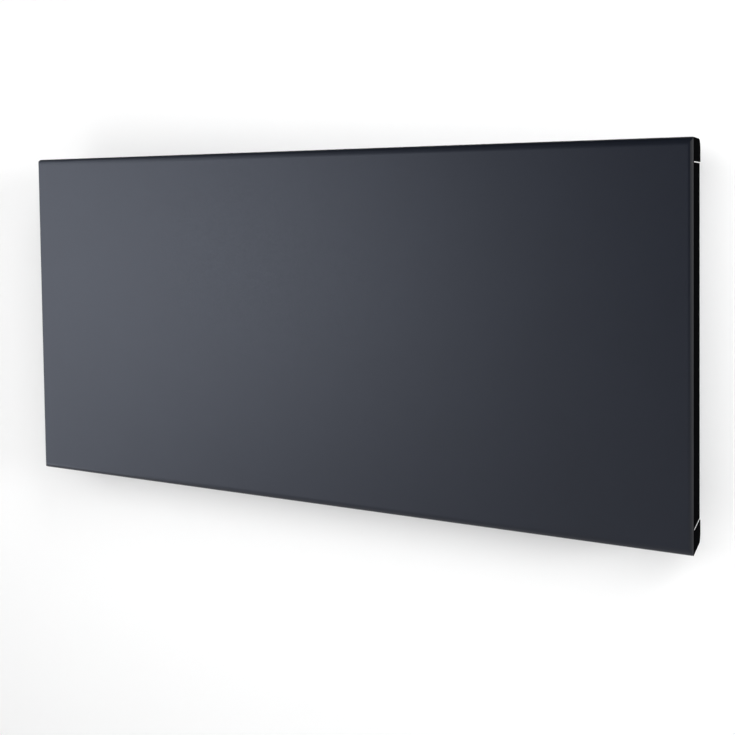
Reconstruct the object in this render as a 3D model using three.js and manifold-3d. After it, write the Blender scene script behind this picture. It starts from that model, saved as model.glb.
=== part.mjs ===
// Wall-hung electric panel radiator.
// +X is to the right of someone facing the heater, +Y goes into the wall and +Z is up.
// The origin is on the wall, behind the middle of the panel. All sizes are in millimetres.

import * as THREE from "three";
import { mergeVertices } from "three/addons/utils/BufferGeometryUtils.js";
import Module from "manifold-3d";

const wasm = await Module();
wasm.setup();

// Whole heater
const PANEL_LENGTH = 750;
const PANEL_HEIGHT = 370;
const SHELL_DEPTH = 46;
const WALL_GAP = 34;

// Fits between pieces
const SEAT_GAP = 0.3;
const LOOSE_GAP = 0.7;
const CUT_OVERRUN = 2;

// Front panel
const FRONT_SHEET = 1.2;
const FRONT_BEND = 8;
const REAR_BEND = 13;
const END_BEND = 4;
const END_RETURN = 5;
const LIP_HEIGHT = 22;
const LIP_NOTCH = 9;
const OUTLET_WIDTH = 7;
const OUTLET_LENGTH = 19;
const OUTLET_PITCH = 16;
const OUTLET_END_MARGIN = 40;

// End plates
const PLATE_SHEET = 0.8;
const PLATE_JOGGLE_GAP = 0.4;
const PLATE_FRONT_FLANGE = 16;
const PLATE_REAR_FLANGE = 22;
const PLATE_TIE = 1.5;
const TOP_SLIT = 1.8;
const BOTTOM_SLIT = 3.6;

// Rear cover
const COVER_SHEET = 0.8;
const COVER_SETBACK = 4;
const COVER_END_GAP = 11;
const COVER_EDGE_GAP = 1.4;
const COVER_FLANGE = 12;
const BEAD_HALF_WIDTH = 5;
const BEAD_SLOPE = 3;
const BEAD_HEIGHT = 2;
const BEAD_END_MARGIN = 45;
const BEAD_SPACING = 42;
const BEAD_COUNT = 3;
const VENT_LENGTH = 52;
const VENT_HEIGHT = 5;
const VENT_PITCH = 62;
const VENT_ROW_PITCH = 10;
const VENT_EDGE = 12;
const VENT_END_MARGIN = 40;

// Cover screws
const SCREW_INSET = 16.5;
const SCREW_EDGE_ROOM = 65;
const SCREW_SHANK_RADIUS = 1.45;
const SCREW_HEAD_RADIUS = 4;
const SCREW_HEAD_HEIGHT = 2.2;
const SCREW_LENGTH = 5.5;
const SCREW_POINT = 1.2;
const SCREW_COVER_HOLE_RADIUS = 2.2;
const SCREW_PLATE_HOLE_RADIUS = 1.75;

// Wall bracket
const BRACKET_SHEET = 1.5;
const ARM_SPACING = 270;
const UPRIGHT_WIDTH = 30;
const UPRIGHT_EDGE_ROOM = 45;
const RAIL_HALF_HEIGHT = 14;
const RAIL_FLANGE = 8;
const ARM_FLANGE = 12;
const HOOK_EDGE_ROOM = 77;
const HOOK_NOSE = 8;
const HOOK_NOSE_SLOPE = 1.5;
const HOOK_NOSE_THICKNESS = 2.8;
const HOOK_ROOM = 3.9;
const HOOK_TONGUE = 9;
const ARM_ABOVE_SADDLE = 16;
const ARM_BELOW_SADDLE = 14;
const ARM_TAPER = 12;
const HOOK_SLOT_WIDTH = 6;
const LIFT_TRAVEL = 10;
const WALL_HOLE_RADIUS = 3.5;
const WALL_HOLE_INSET = 28;
const RAIL_HOLE_SPACING = 120;
const WALL_SLOT_LENGTH = 12;

// Heating element
const ELEMENT_LEFT_ROOM = 133;
const ELEMENT_RIGHT_ROOM = 77;
const ELEMENT_SETBACK = 20;
const ELEMENT_ABOVE_BASE = 113;
const TUBE_RADIUS = 5;
const TUBE_PAST_FINS = 38;
const PIN_RADIUS = 1.8;
const PIN_LENGTH = 12;
const FIN_DEPTH = 24;
const FIN_HEIGHT = 62;
const FIN_CORNER = 4;
const FIN_SHEET = 0.6;
const FIN_PITCH = 13.5;

// Element brackets and bushes
const ELEMENT_BRACKET_SHEET = 1;
const ELEMENT_BRACKET_FOOT = 16;
const ELEMENT_BRACKET_PAST_FINS = 20;
const BUSH_FLANGE_RADIUS = 9;
const BUSH_NECK_RADIUS = 6.4;
const BUSH_FLANGE = 4;
const RIVET_RADIUS = 1.6;
const RIVET_HEAD_RADIUS = 3.2;
const RIVET_HEAD_HEIGHT = 1.1;
const RIVET_TAIL_RADIUS = 2.6;
const RIVET_TAIL_LENGTH = 2.4;
const RIVET_SPACING = 28;

// Heat reflector
const REFLECTOR_SHEET = 0.6;
const REFLECTOR_BEHIND_FINS = 2;
const REFLECTOR_BELOW_ELEMENT = 40;
const REFLECTOR_ABOVE_ELEMENT = 112;
const REFLECTOR_LIP = 8;
const STANDOFF_BASE_RADIUS = 9;
const STANDOFF_TOP_RADIUS = 5;
const STANDOFF_SPACING = 400;
const STANDOFF_COLUMNS = 2;
const STANDOFF_LOW = 24;
const STANDOFF_HIGH = 94;

// Thermal cut-out and its strap
const STRAP_SHEET = 0.8;
const STRAP_WIDTH = 22;
const STRAP_ABOVE_FINS = 11;
const STRAP_RISE = 38;
const STRAP_REACH = 25;
const CUTOUT_RADIUS = 8;
const CUTOUT_HEIGHT = 9;
const CUTOUT_STEP = 0.8;
const CUTOUT_STUB_RADIUS = 3.4;
const CUTOUT_STUB_LENGTH = 4;

// Control housing, fascia, window and buttons
const HOUSING_WALL = 1.6;
const HOUSING_DEPTH = 34;
const HOUSING_FRONT_ROOM = 6.8;
const HOUSING_REAR_ROOM = 5;
const HOUSING_BELOW_SWITCH = 24;
const HOUSING_TOP_ROOM = 33;
const BOSS_RADIUS = 2.6;
const BOSS_INSET = 7;
const BOSS_MARGIN = 1.6;
const FASCIA_BELOW_HOUSING_TOP = 4;
const FASCIA_WIDTH = 28.6;
const FASCIA_FLANGE = 1.4;
const FASCIA_LAND = 1.8;
const FASCIA_WALL = 1.4;
const FASCIA_SKIRT = 6;
const FASCIA_CORNER = 5;
const WINDOW_HEIGHT = 34;
const WINDOW_WIDTH = 17;
const WINDOW_THICKNESS = 1.2;
const WINDOW_LEDGE = 1.5;
const WINDOW_MARGIN = 11;
const WINDOW_TO_BUTTONS = 13.8;
const WINDOW_CORNER = 2;
const BUTTON_RADIUS = 5.2;
const BUTTON_PITCH = 20;
const BUTTON_PROUD = 0.9;
const BUTTON_TRAVEL = 0.8;
const BUTTON_FLANGE_RADIUS = 6.6;
const BUTTON_FLANGE = 1.2;
const BUTTON_CROWN = 0.5;
const BUTTON_STEM_RADIUS = 2;
const BUTTON_MARGIN = 14.8;
const BUTTON_NAMES = ["button_up", "button_down", "button_mode"];
const BOARD_WIDTH = 20;
const BOARD_SHORTER = 12;
const BOARD_THICKNESS = 1.6;
const BOARD_DEPTH = 12;
const KEY_SWITCH_SIDE = 6;
const KEY_SWITCH_HEIGHT = 3.5;
const KEY_STEM_RADIUS = 1.7;
const KEY_STEM_HEIGHT = 1;
const DISPLAY_MODULE_HEIGHT = 7;
const DISPLAY_MODULE_INSET = 2;
const RELAY_WIDTH = 13;
const RELAY_HEIGHT = 28;
const RELAY_DEPTH = 15;
const RELAY_ABOVE_BOSS = 2.4;
const RELAY_CORNER = 0.5;

// Mains switch
const SWITCH_BELOW_FASCIA = 24;
const SWITCH_WIDTH = 13.2;
const SWITCH_HEIGHT = 21;
const SWITCH_BEZEL = 1.2;
const SWITCH_HOLE_CORNER = 0.5;
const SWITCH_BEZEL_THICKNESS = 1.6;
const SWITCH_DEPTH = 15;
const SWITCH_WALL = 1.2;
const SWITCH_POCKET_DEPTH = 7;
const SWITCH_TAG_WIDTH = 4.8;
const SWITCH_TAG_LENGTH = 8;
const SWITCH_TAG_SHEET = 0.8;
const SWITCH_TAG_SPACING = 8;
const SWITCH_TAG_COUNT = 2;
const ROCKER_HALF_LENGTH = 8;
const ROCKER_PIVOT_DEPTH = 3.2;
const ROCKER_PROUD = 1;
const ROCKER_DISH = 1;
const ROCKER_BACK = 2.2;
const ROCKER_TILT_DEGREES = 7;
const ROCKER_PIN_RADIUS = 1;

// Terminal block, earth screw and cable gland
const TERMINAL_LENGTH = 34;
const TERMINAL_HEIGHT = 20;
const TERMINAL_DEPTH = 15;
const TERMINAL_INSET = 53;
const TERMINAL_PITCH = 11.3;
const TERMINAL_COUNT = 3;
const TERMINAL_HOLE_RADIUS = 2.2;
const TERMINAL_ENTRY_RADIUS = 2;
const TERMINAL_WELL = 6;
const GLAND_BELOW_TERMINALS = 46;
const GLAND_BORE_RADIUS = 4;
const GLAND_NECK_RADIUS = 6.8;
const GLAND_FLANGE_RADIUS = 11;
const GLAND_FLANGE = 3;
const GLAND_CHAMFER = 1.5;
const GLAND_COLLAR_RADIUS = 8.5;
const GLAND_COLLAR = 5;
const EARTH_ACROSS = 22;
const EARTH_ABOVE_TERMINALS = 42;

// Inner leads and room sensor
const LEAD_RADIUS = 1.3;
const LEAD_BEND = 9;
const LEAD_TAIL = 3;
const LEAD_ASIDE = 2.6;
const LEAD_SWEEP = 36;
const LEAD_SIDES = 6;
const LEAD_STEPS = 16;
const LEAD_BELOW_ELEMENT = 60;
const LEAD_HOLE_WIDTH = 14;
const LEAD_HOLE_DEPTH = 10;
const SENSOR_INSET = 8;
const SENSOR_RADIUS = 2.4;
const SENSOR_FLANGE_RADIUS = 4;
const SENSOR_FLANGE = 1.5;
const SENSOR_LENGTH = 24;

// Places that follow from the sizes above
const HALF_LENGTH = PANEL_LENGTH / 2;
const HALF_HEIGHT = PANEL_HEIGHT / 2;
const REAR_Y = -WALL_GAP;
const FRONT_Y = REAR_Y - SHELL_DEPTH;
const LIP_EDGE_Z = HALF_HEIGHT - LIP_HEIGHT;
const PLATE_STEP_Y = FRONT_Y + END_RETURN + SEAT_GAP;
const COVER_Y = REAR_Y - COVER_SETBACK;
const COVER_INNER_Y = COVER_Y - COVER_SHEET;
const COVER_HALF_LENGTH = HALF_LENGTH - COVER_END_GAP;
const COVER_HALF_HEIGHT = LIP_EDGE_Z - BOTTOM_SLIT - COVER_EDGE_GAP;
const PLATE_REAR_Y = COVER_INNER_Y - SEAT_GAP;
const ARM_X = ARM_SPACING / 2;
const ARM_FRONT_Y = COVER_Y + SEAT_GAP;
const SADDLE_Z = HALF_HEIGHT - HOOK_EDGE_ROOM;
const UPRIGHT_HALF_HEIGHT = HALF_HEIGHT - UPRIGHT_EDGE_ROOM;
const WALL_HOLE_Z = UPRIGHT_HALF_HEIGHT - WALL_HOLE_INSET;
const SCREW_Z = HALF_HEIGHT - SCREW_EDGE_ROOM;
const ELEMENT_CENTRE_X = (ELEMENT_LEFT_ROOM - ELEMENT_RIGHT_ROOM) / 2;
const ELEMENT_Y = FRONT_Y + ELEMENT_SETBACK;
const ELEMENT_Z = ELEMENT_ABOVE_BASE - HALF_HEIGHT;
const FIN_COUNT = countIn(PANEL_LENGTH - ELEMENT_LEFT_ROOM - ELEMENT_RIGHT_ROOM, FIN_PITCH);
const FIN_PACK_HALF = ((FIN_COUNT - 1) * FIN_PITCH) / 2;
const REFLECTOR_Y = ELEMENT_Y + FIN_DEPTH / 2 + REFLECTOR_BEHIND_FINS + REFLECTOR_SHEET;
const STRAP_Z = ELEMENT_Z + FIN_HEIGHT / 2 + STRAP_ABOVE_FINS;
const BUTTON_ROW = (BUTTON_NAMES.length - 1) * BUTTON_PITCH + 2 * BUTTON_RADIUS;
const FASCIA_HEIGHT = WINDOW_MARGIN + WINDOW_HEIGHT + WINDOW_TO_BUTTONS + BUTTON_ROW + BUTTON_MARGIN;
const HOUSING_HIGH = HALF_HEIGHT - HOUSING_TOP_ROOM;
const FASCIA_CENTRE_Z = HOUSING_HIGH - FASCIA_BELOW_HOUSING_TOP - FASCIA_HEIGHT / 2;
const SWITCH_CENTRE_Z = FASCIA_CENTRE_Z - FASCIA_HEIGHT / 2 - SWITCH_BELOW_FASCIA;
const HOUSING_LOW = SWITCH_CENTRE_Z - HOUSING_BELOW_SWITCH;
const HOUSING_FRONT_Y = FRONT_Y + HOUSING_FRONT_ROOM;
const HOUSING_REAR_Y = PLATE_REAR_Y - HOUSING_REAR_ROOM;
const CONTROL_Y = (HOUSING_FRONT_Y + HOUSING_REAR_Y) / 2;
const LEFT_X = -HALF_LENGTH;
const PLATE_INNER_X = LEFT_X + PLATE_SHEET;
const FASCIA_FACE_X = LEFT_X - SEAT_GAP - FASCIA_FLANGE;
const FASCIA_BACK_X = LEFT_X - SEAT_GAP + FASCIA_LAND;
const HOUSING_BACK_X = PLATE_INNER_X + SEAT_GAP + HOUSING_DEPTH;
const BOARD_X = PLATE_INNER_X + BOARD_DEPTH;
const WINDOW_CENTRE_Z = FASCIA_CENTRE_Z + FASCIA_HEIGHT / 2 - WINDOW_MARGIN - WINDOW_HEIGHT / 2;
const BUTTONS_CENTRE_Z = FASCIA_CENTRE_Z - FASCIA_HEIGHT / 2 + BUTTON_MARGIN + BUTTON_ROW / 2;
const BUTTON_CENTRES = row(BUTTON_NAMES.length, -BUTTON_PITCH).map((z) => BUTTONS_CENTRE_Z + z);
const BOARD_HEIGHT = FASCIA_HEIGHT - BOARD_SHORTER;
const LOWER_BOSS_Z = FASCIA_CENTRE_Z - BOARD_HEIGHT / 2 + BOSS_INSET;
const SWITCH_FACE_X = LEFT_X - SEAT_GAP - SWITCH_BEZEL_THICKNESS;
const ROCKER_PIVOT_X = SWITCH_FACE_X + ROCKER_PIVOT_DEPTH;
const TERMINAL_CENTRE_X = LEFT_X + TERMINAL_INSET;
const TERMINAL_CENTRE_Z = ELEMENT_Z;
const TERMINAL_Y = COVER_INNER_Y - SEAT_GAP - TERMINAL_DEPTH / 2;
const TERMINAL_WAYS = row(TERMINAL_COUNT, TERMINAL_PITCH).map((x) => TERMINAL_CENTRE_X + x);
const [SUPPLY_WAY_X, NEUTRAL_WAY_X, EARTH_WAY_X] = TERMINAL_WAYS;
const GLAND_CENTRE_Z = TERMINAL_CENTRE_Z - GLAND_BELOW_TERMINALS;
const EARTH_CENTRE_X = TERMINAL_CENTRE_X + EARTH_ACROSS;
const EARTH_CENTRE_Z = TERMINAL_CENTRE_Z + EARTH_ABOVE_TERMINALS;
const TAG_END_X = LEFT_X - SEAT_GAP + SWITCH_DEPTH + SWITCH_TAG_LENGTH + SEAT_GAP;
const PIN_END = FIN_PACK_HALF + TUBE_PAST_FINS + PIN_LENGTH + SEAT_GAP;
const HOUSING_EXIT_X = HOUSING_BACK_X - HOUSING_WALL - LEAD_HOLE_DEPTH / 2;
const LEAD_RUN_Z = ELEMENT_Z - LEAD_BELOW_ELEMENT;

const QUARTER_TURN = Math.PI / 2;
const BEND_STEPS = 3;
const FORM_STEPS = 2;
const CORNER_STEPS = 1;
const ROUND_SIDES = 16;
const MEDIUM_SIDES = 12;
const SMALL_SIDES = 10;
const SWEEP_FRAMES = {
  x: new THREE.Matrix4().makeBasis(
    new THREE.Vector3(0, 1, 0), new THREE.Vector3(0, 0, 1), new THREE.Vector3(1, 0, 0)),
  y: new THREE.Matrix4().makeBasis(
    new THREE.Vector3(1, 0, 0), new THREE.Vector3(0, 0, 1), new THREE.Vector3(0, -1, 0)),
  z: new THREE.Matrix4(),
};

// A closed geometry as a solid that can be joined and cut. Faces that the merging of points has
// closed up are left out, and all are turned outwards, whichever way their outline was drawn.
function solidOf(geometry) {
  geometry.deleteAttribute("normal");
  geometry.deleteAttribute("uv");
  const merged = mergeVertices(geometry);
  const index = merged.index.array;
  const corners = [0, 1, 2].map(() => new THREE.Vector3());
  const faces = [];
  let volume = 0;
  for (let i = 0; i < index.length; i += 3) {
    const [a, b, c] = index.slice(i, i + 3);
    if (a === b || b === c || c === a) continue;
    faces.push([a, b, c]);
    [a, b, c].forEach((vertex, k) => corners[k].fromBufferAttribute(merged.attributes.position, vertex));
    volume += corners[0].dot(corners[1].cross(corners[2]));
  }
  const turned = volume < 0 ? faces.map(([a, b, c]) => [a, c, b]) : faces;
  return new wasm.Manifold(new wasm.Mesh({
    numProp: 3,
    vertProperties: Float32Array.from(merged.attributes.position.array),
    triVerts: Uint32Array.from(turned.flat()),
  }));
}

function geometryOf(solid) {
  const mesh = solid.getMesh();
  const geometry = new THREE.BufferGeometry();
  geometry.setAttribute("position", new THREE.BufferAttribute(mesh.vertProperties, 3));
  geometry.setIndex(new THREE.BufferAttribute(mesh.triVerts, 1));
  geometry.computeVertexNormals();
  return geometry;
}

function joined(solids) {
  return solids.reduce((all, next) => all.add(next));
}

function without(solid, cuts) {
  return cuts.reduce((rest, cut) => rest.subtract(cut), solid);
}

// An outline swept along one axis. It is drawn in (y, z) for x, in (x, z) for y and in (x, y) for z.
function sweep(axis, outline, from, to, steps = CORNER_STEPS) {
  const geometry = new THREE.ExtrudeGeometry(outline, {
    depth: to - from, bevelEnabled: false, curveSegments: steps,
  });
  geometry.translate(0, 0, axis === "y" ? -to : from);
  geometry.applyMatrix4(SWEEP_FRAMES[axis]);
  return solidOf(geometry);
}

function block(low, high) {
  const size = high.map((value, i) => value - low[i]);
  const geometry = new THREE.BoxGeometry(...size);
  geometry.translate(...high.map((value, i) => (value + low[i]) / 2));
  return solidOf(geometry);
}

// A cylinder or cone along one axis through centre, which gives the other two places
function round(axis, centre, radius, from, to, endRadius = radius, sides = ROUND_SIDES) {
  const geometry = new THREE.CylinderGeometry(endRadius, radius, to - from, sides);
  geometry.translate(0, (from + to) / 2, 0);
  if (axis === "x") geometry.rotateZ(-QUARTER_TURN);
  if (axis === "z") geometry.rotateX(QUARTER_TURN);
  const [first, second] = centre;
  const places = { x: [0, first, second], y: [first, 0, second], z: [first, second, 0] };
  geometry.translate(...places[axis]);
  return solidOf(geometry);
}

// A profile of [radius, place along the axis] points turned about an axis through centre
function revolved(axis, centre, profile, sides = ROUND_SIDES) {
  const points = profile.map(([radius, along]) => new THREE.Vector2(radius, along));
  const geometry = new THREE.LatheGeometry(points, sides);
  if (axis === "x") geometry.rotateZ(-QUARTER_TURN);
  if (axis === "z") geometry.rotateX(QUARTER_TURN);
  const [first, second] = centre;
  const places = { x: [0, first, second], y: [first, 0, second], z: [first, second, 0] };
  geometry.translate(...places[axis]);
  return solidOf(geometry);
}

// A rectangle with its own radius at each corner, from the low corner round by the first axis
function roundedOutline(low, high, radii) {
  const [a, b, c, d] = radii;
  const shape = new THREE.Shape();
  shape.moveTo(low[0] + a, low[1]);
  shape.lineTo(high[0] - b, low[1]);
  if (b > 0) shape.absarc(high[0] - b, low[1] + b, b, -QUARTER_TURN, 0);
  shape.lineTo(high[0], high[1] - c);
  if (c > 0) shape.absarc(high[0] - c, high[1] - c, c, 0, QUARTER_TURN);
  shape.lineTo(low[0] + d, high[1]);
  if (d > 0) shape.absarc(low[0] + d, high[1] - d, d, QUARTER_TURN, 2 * QUARTER_TURN);
  shape.lineTo(low[0], low[1] + a);
  if (a > 0) shape.absarc(low[0] + a, low[1] + a, a, 2 * QUARTER_TURN, 3 * QUARTER_TURN);
  return shape;
}

function centredOutline(centre, width, height, radius) {
  return roundedOutline(
    [centre[0] - width / 2, centre[1] - height / 2],
    [centre[0] + width / 2, centre[1] + height / 2],
    [radius, radius, radius, radius]);
}

function chamferedOutline(centre, width, height, chamfer) {
  const [u, v] = [width / 2, height / 2];
  return polygon([
    [-u, -v + chamfer], [-u + chamfer, -v], [u - chamfer, -v], [u, -v + chamfer],
    [u, v - chamfer], [u - chamfer, v], [-u + chamfer, v], [-u, v - chamfer],
  ].map(([a, b]) => [centre[0] + a, centre[1] + b]));
}

function polygon(points) {
  return new THREE.Shape(points.map(([u, v]) => new THREE.Vector2(u, v)));
}

// A folded sheet's section. The sheet lies on the right of someone who walks along the line.
function foldedSheet(line, thickness) {
  const heading = (from, to) => new THREE.Vector2(to[0] - from[0], to[1] - from[1]).normalize();
  const last = line.length - 1;
  const inner = line.map((point, i) => {
    const before = i > 0 ? heading(line[i - 1], point) : heading(point, line[i + 1]);
    const after = i < last ? heading(point, line[i + 1]) : before;
    const share = thickness / (1 + before.dot(after));
    return [point[0] + (before.y + after.y) * share, point[1] - (before.x + after.x) * share];
  });
  return [...line, ...inner.reverse()];
}

function mirrored(points, side) {
  return points.map(([u, v]) => [u * side, v]);
}

// A box drawn for the right end, or its mirror image at the left
function endBlock(side, low, high) {
  const x = [low[0] * side, high[0] * side];
  return block([Math.min(...x), low[1], low[2]], [Math.max(...x), high[1], high[2]]);
}

// Places of a row of count things, pitch apart, about zero
function row(count, pitch) {
  return Array.from({ length: count }, (_, i) => (i - (count - 1) / 2) * pitch);
}

function countIn(length, pitch) {
  return Math.floor(length / pitch) + 1;
}

const radiator = new THREE.Group();

function add(name, solid, { colour, roughness, metalness }) {
  const material = new THREE.MeshStandardMaterial({ color: colour, roughness, metalness });
  const mesh = new THREE.Mesh(geometryOf(solid), material);
  mesh.name = name;
  radiator.add(mesh);
}

// Front panel: a pressed pan, open at the rear, with its ends and the middle of its rear cut away
function panSection(inset) {
  return roundedOutline(
    [FRONT_Y + inset, -HALF_HEIGHT + inset],
    [REAR_Y - inset, HALF_HEIGHT - inset],
    [FRONT_BEND - inset, REAR_BEND - inset, REAR_BEND - inset, FRONT_BEND - inset]);
}

function panPlan(inset) {
  return roundedOutline(
    [-HALF_LENGTH + inset, FRONT_Y + inset],
    [HALF_LENGTH - inset, REAR_Y + CUT_OVERRUN],
    [END_BEND - inset, END_BEND - inset, 0, 0]);
}

function panSolid(inset) {
  const along = sweep("x", panSection(inset), -HALF_LENGTH, HALF_LENGTH, BEND_STEPS);
  const upright = sweep("z", panPlan(inset), -HALF_HEIGHT, HALF_HEIGHT, BEND_STEPS);
  return along.intersect(upright);
}

function frontPanel() {
  const top = HALF_HEIGHT + CUT_OVERRUN;
  const rear = REAR_Y + CUT_OVERRUN;
  const past = HALF_LENGTH + CUT_OVERRUN;
  const rearOpening = block([-past, REAR_Y - REAR_BEND, -LIP_EDGE_Z], [past, rear, LIP_EDGE_Z]);
  const cuts = [panSolid(FRONT_SHEET), rearOpening];
  for (const side of [-1, 1]) {
    const returnEnd = HALF_LENGTH - FRONT_SHEET - SEAT_GAP;
    cuts.push(endBlock(side, [returnEnd, FRONT_Y + END_RETURN, -top], [past, rear, top]));
    cuts.push(endBlock(side, [HALF_LENGTH - LIP_NOTCH, REAR_Y - REAR_BEND, -top], [past, rear, top]));
  }
  const flatCentre = (FRONT_Y + FRONT_BEND + REAR_Y - REAR_BEND) / 2;
  const count = countIn(PANEL_LENGTH - 2 * OUTLET_END_MARGIN, OUTLET_PITCH);
  for (const x of row(count, OUTLET_PITCH)) {
    cuts.push(block(
      [x - OUTLET_WIDTH / 2, flatCentre - OUTLET_LENGTH / 2, -top],
      [x + OUTLET_WIDTH / 2, flatCentre + OUTLET_LENGTH / 2, top]));
  }
  return without(panSolid(0), cuts);
}

// End plate: a flush sheet in three tongues, tied by a stepped flange behind the front panel
function endPlate(side) {
  const outer = HALF_LENGTH;
  const inner = HALF_LENGTH - PLATE_SHEET;
  const joggle = HALF_LENGTH - FRONT_SHEET - PLATE_JOGGLE_GAP;
  const flangeY = FRONT_Y + FRONT_SHEET + SEAT_GAP;
  const bend = END_BEND - FRONT_SHEET;
  const railSection = foldedSheet([
    [outer, PLATE_STEP_Y + PLATE_TIE],
    [outer, PLATE_STEP_Y],
    [joggle, PLATE_STEP_Y],
    [joggle, flangeY + bend],
    [joggle - bend, flangeY],
    [joggle - PLATE_FRONT_FLANGE, flangeY],
  ], PLATE_SHEET);
  const railHalf = HALF_HEIGHT - FRONT_BEND;
  const rail = sweep("z", polygon(mirrored(railSection, side)), -railHalf, railHalf);
  const fullTongue = endBlock(side, [inner, PLATE_STEP_Y, -HALF_HEIGHT], [outer, REAR_Y, HALF_HEIGHT]);
  const outline = sweep("x", panSection(0), -HALF_LENGTH, HALF_LENGTH, BEND_STEPS);
  const past = HALF_LENGTH + CUT_OVERRUN;
  const between = endBlock(side,
    [inner - CUT_OVERRUN, PLATE_STEP_Y + PLATE_TIE, -LIP_EDGE_Z],
    [past, REAR_Y + CUT_OVERRUN, LIP_EDGE_Z]);
  const lobes = fullTongue.intersect(outline).subtract(between);
  const middleLow = -LIP_EDGE_Z + BOTTOM_SLIT;
  const middleHigh = LIP_EDGE_Z - TOP_SLIT;
  const middle = endBlock(side,
    [inner, PLATE_STEP_Y, middleLow], [outer, PLATE_REAR_Y, middleHigh]);
  const flangeHalf = COVER_HALF_HEIGHT - COVER_SHEET - LOOSE_GAP;
  const rearFlange = endBlock(side,
    [outer - PLATE_REAR_FLANGE, PLATE_REAR_Y - PLATE_SHEET, -flangeHalf],
    [outer, PLATE_REAR_Y, flangeHalf]);
  const holes = [-1, 0, 1].map((step) => round("y",
    [side * (HALF_LENGTH - SCREW_INSET), step * SCREW_Z], SCREW_PLATE_HOLE_RADIUS,
    PLATE_REAR_Y - PLATE_SHEET - CUT_OVERRUN, PLATE_REAR_Y + CUT_OVERRUN,
    SCREW_PLATE_HOLE_RADIUS, SMALL_SIDES));
  return without(joined([rail, lobes, middle, rearFlange]), holes);
}

function leftEndPlate() {
  const through = (centreZ, width, height, radius) => sweep("x",
    centredOutline([CONTROL_Y, centreZ], width, height, radius),
    LEFT_X - CUT_OVERRUN, PLATE_INNER_X + CUT_OVERRUN);
  const fasciaHole = through(FASCIA_CENTRE_Z,
    FASCIA_WIDTH - 2 * FASCIA_FLANGE, FASCIA_HEIGHT - 2 * FASCIA_FLANGE,
    FASCIA_CORNER - FASCIA_FLANGE);
  const switchHole = through(SWITCH_CENTRE_Z,
    SWITCH_WIDTH + 2 * SEAT_GAP, SWITCH_HEIGHT + 2 * SEAT_GAP, SWITCH_HOLE_CORNER);
  return without(endPlate(-1), [fasciaHole, switchHole]);
}

// A round-ended pressing with sloping sides that stands proud of the face at y = base, towards +Y
function pressing(halfLength, halfWidth, centreZ, base, height, slope) {
  const outline = centredOutline([0, centreZ], 2 * halfLength, 2 * halfWidth, halfWidth);
  const geometry = new THREE.ExtrudeGeometry(outline, {
    depth: height, bevelEnabled: true, bevelThickness: height, bevelSize: slope,
    bevelSegments: 1, curveSegments: FORM_STEPS,
  });
  geometry.applyMatrix4(SWEEP_FRAMES.y);
  geometry.translate(0, base, 0);
  return solidOf(geometry);
}

function hookSlots() {
  const slots = [];
  for (const x of [-ARM_X - BRACKET_SHEET / 2, ARM_X + BRACKET_SHEET / 2]) {
    for (const saddle of [-SADDLE_Z, SADDLE_Z]) {
      slots.push(block(
        [x - HOOK_SLOT_WIDTH / 2, COVER_INNER_Y - CUT_OVERRUN,
          saddle - HOOK_TONGUE - LIFT_TRAVEL - LOOSE_GAP],
        [x + HOOK_SLOT_WIDTH / 2, COVER_Y + CUT_OVERRUN, saddle + SEAT_GAP]));
    }
  }
  return slots;
}

function ventRows() {
  const count = countIn(2 * (COVER_HALF_LENGTH - VENT_END_MARGIN) - VENT_LENGTH, VENT_PITCH);
  const vents = [];
  for (const side of [-1, 1]) {
    for (const line of [0, 1]) {
      const z = side * (COVER_HALF_HEIGHT - VENT_EDGE - line * VENT_ROW_PITCH);
      for (const x of row(count, VENT_PITCH)) {
        vents.push(block(
          [x - VENT_LENGTH / 2, COVER_INNER_Y - CUT_OVERRUN, z - VENT_HEIGHT / 2],
          [x + VENT_LENGTH / 2, COVER_Y + CUT_OVERRUN, z + VENT_HEIGHT / 2]));
      }
    }
  }
  return vents;
}

function coverHole(x, z, radius, sides) {
  return round("y", [x, z], radius, COVER_INNER_Y - CUT_OVERRUN, COVER_Y + CUT_OVERRUN, radius, sides);
}

function rearCover() {
  const section = foldedSheet([
    [COVER_Y - COVER_FLANGE, COVER_HALF_HEIGHT],
    [COVER_Y, COVER_HALF_HEIGHT],
    [COVER_Y, -COVER_HALF_HEIGHT],
    [COVER_Y - COVER_FLANGE, -COVER_HALF_HEIGHT],
  ], COVER_SHEET);
  const tray = sweep("x", polygon(section), -COVER_HALF_LENGTH, COVER_HALF_LENGTH);
  const beadHalf = COVER_HALF_LENGTH - BEAD_END_MARGIN;
  const outside = block(
    [-HALF_LENGTH, COVER_Y - COVER_SHEET / 2, -HALF_HEIGHT], [HALF_LENGTH, REAR_Y, HALF_HEIGHT]);
  const proud = [];
  const hollow = [];
  for (const z of row(BEAD_COUNT, BEAD_SPACING)) {
    proud.push(pressing(beadHalf, BEAD_HALF_WIDTH, z, COVER_Y, BEAD_HEIGHT, BEAD_SLOPE).intersect(outside));
    hollow.push(pressing(beadHalf - COVER_SHEET / 2, BEAD_HALF_WIDTH - COVER_SHEET / 2, z,
      COVER_INNER_Y, BEAD_HEIGHT, BEAD_SLOPE));
  }
  const screwHoles = screwPlaces().map(([x, z]) => coverHole(x, z, SCREW_COVER_HOLE_RADIUS, SMALL_SIDES));
  const rivetHoles = rivetPlaces().map(([x, z]) => coverHole(x, z, RIVET_RADIUS + SEAT_GAP, SMALL_SIDES));
  return without(joined([tray, ...proud]), [
    ...hollow, ...hookSlots(), ...ventRows(), ...screwHoles, ...rivetHoles,
    coverHole(TERMINAL_CENTRE_X, GLAND_CENTRE_Z, GLAND_NECK_RADIUS + SEAT_GAP, ROUND_SIDES),
    coverHole(EARTH_CENTRE_X, EARTH_CENTRE_Z, SCREW_SHANK_RADIUS + SEAT_GAP, SMALL_SIDES),
  ]);
}

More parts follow.
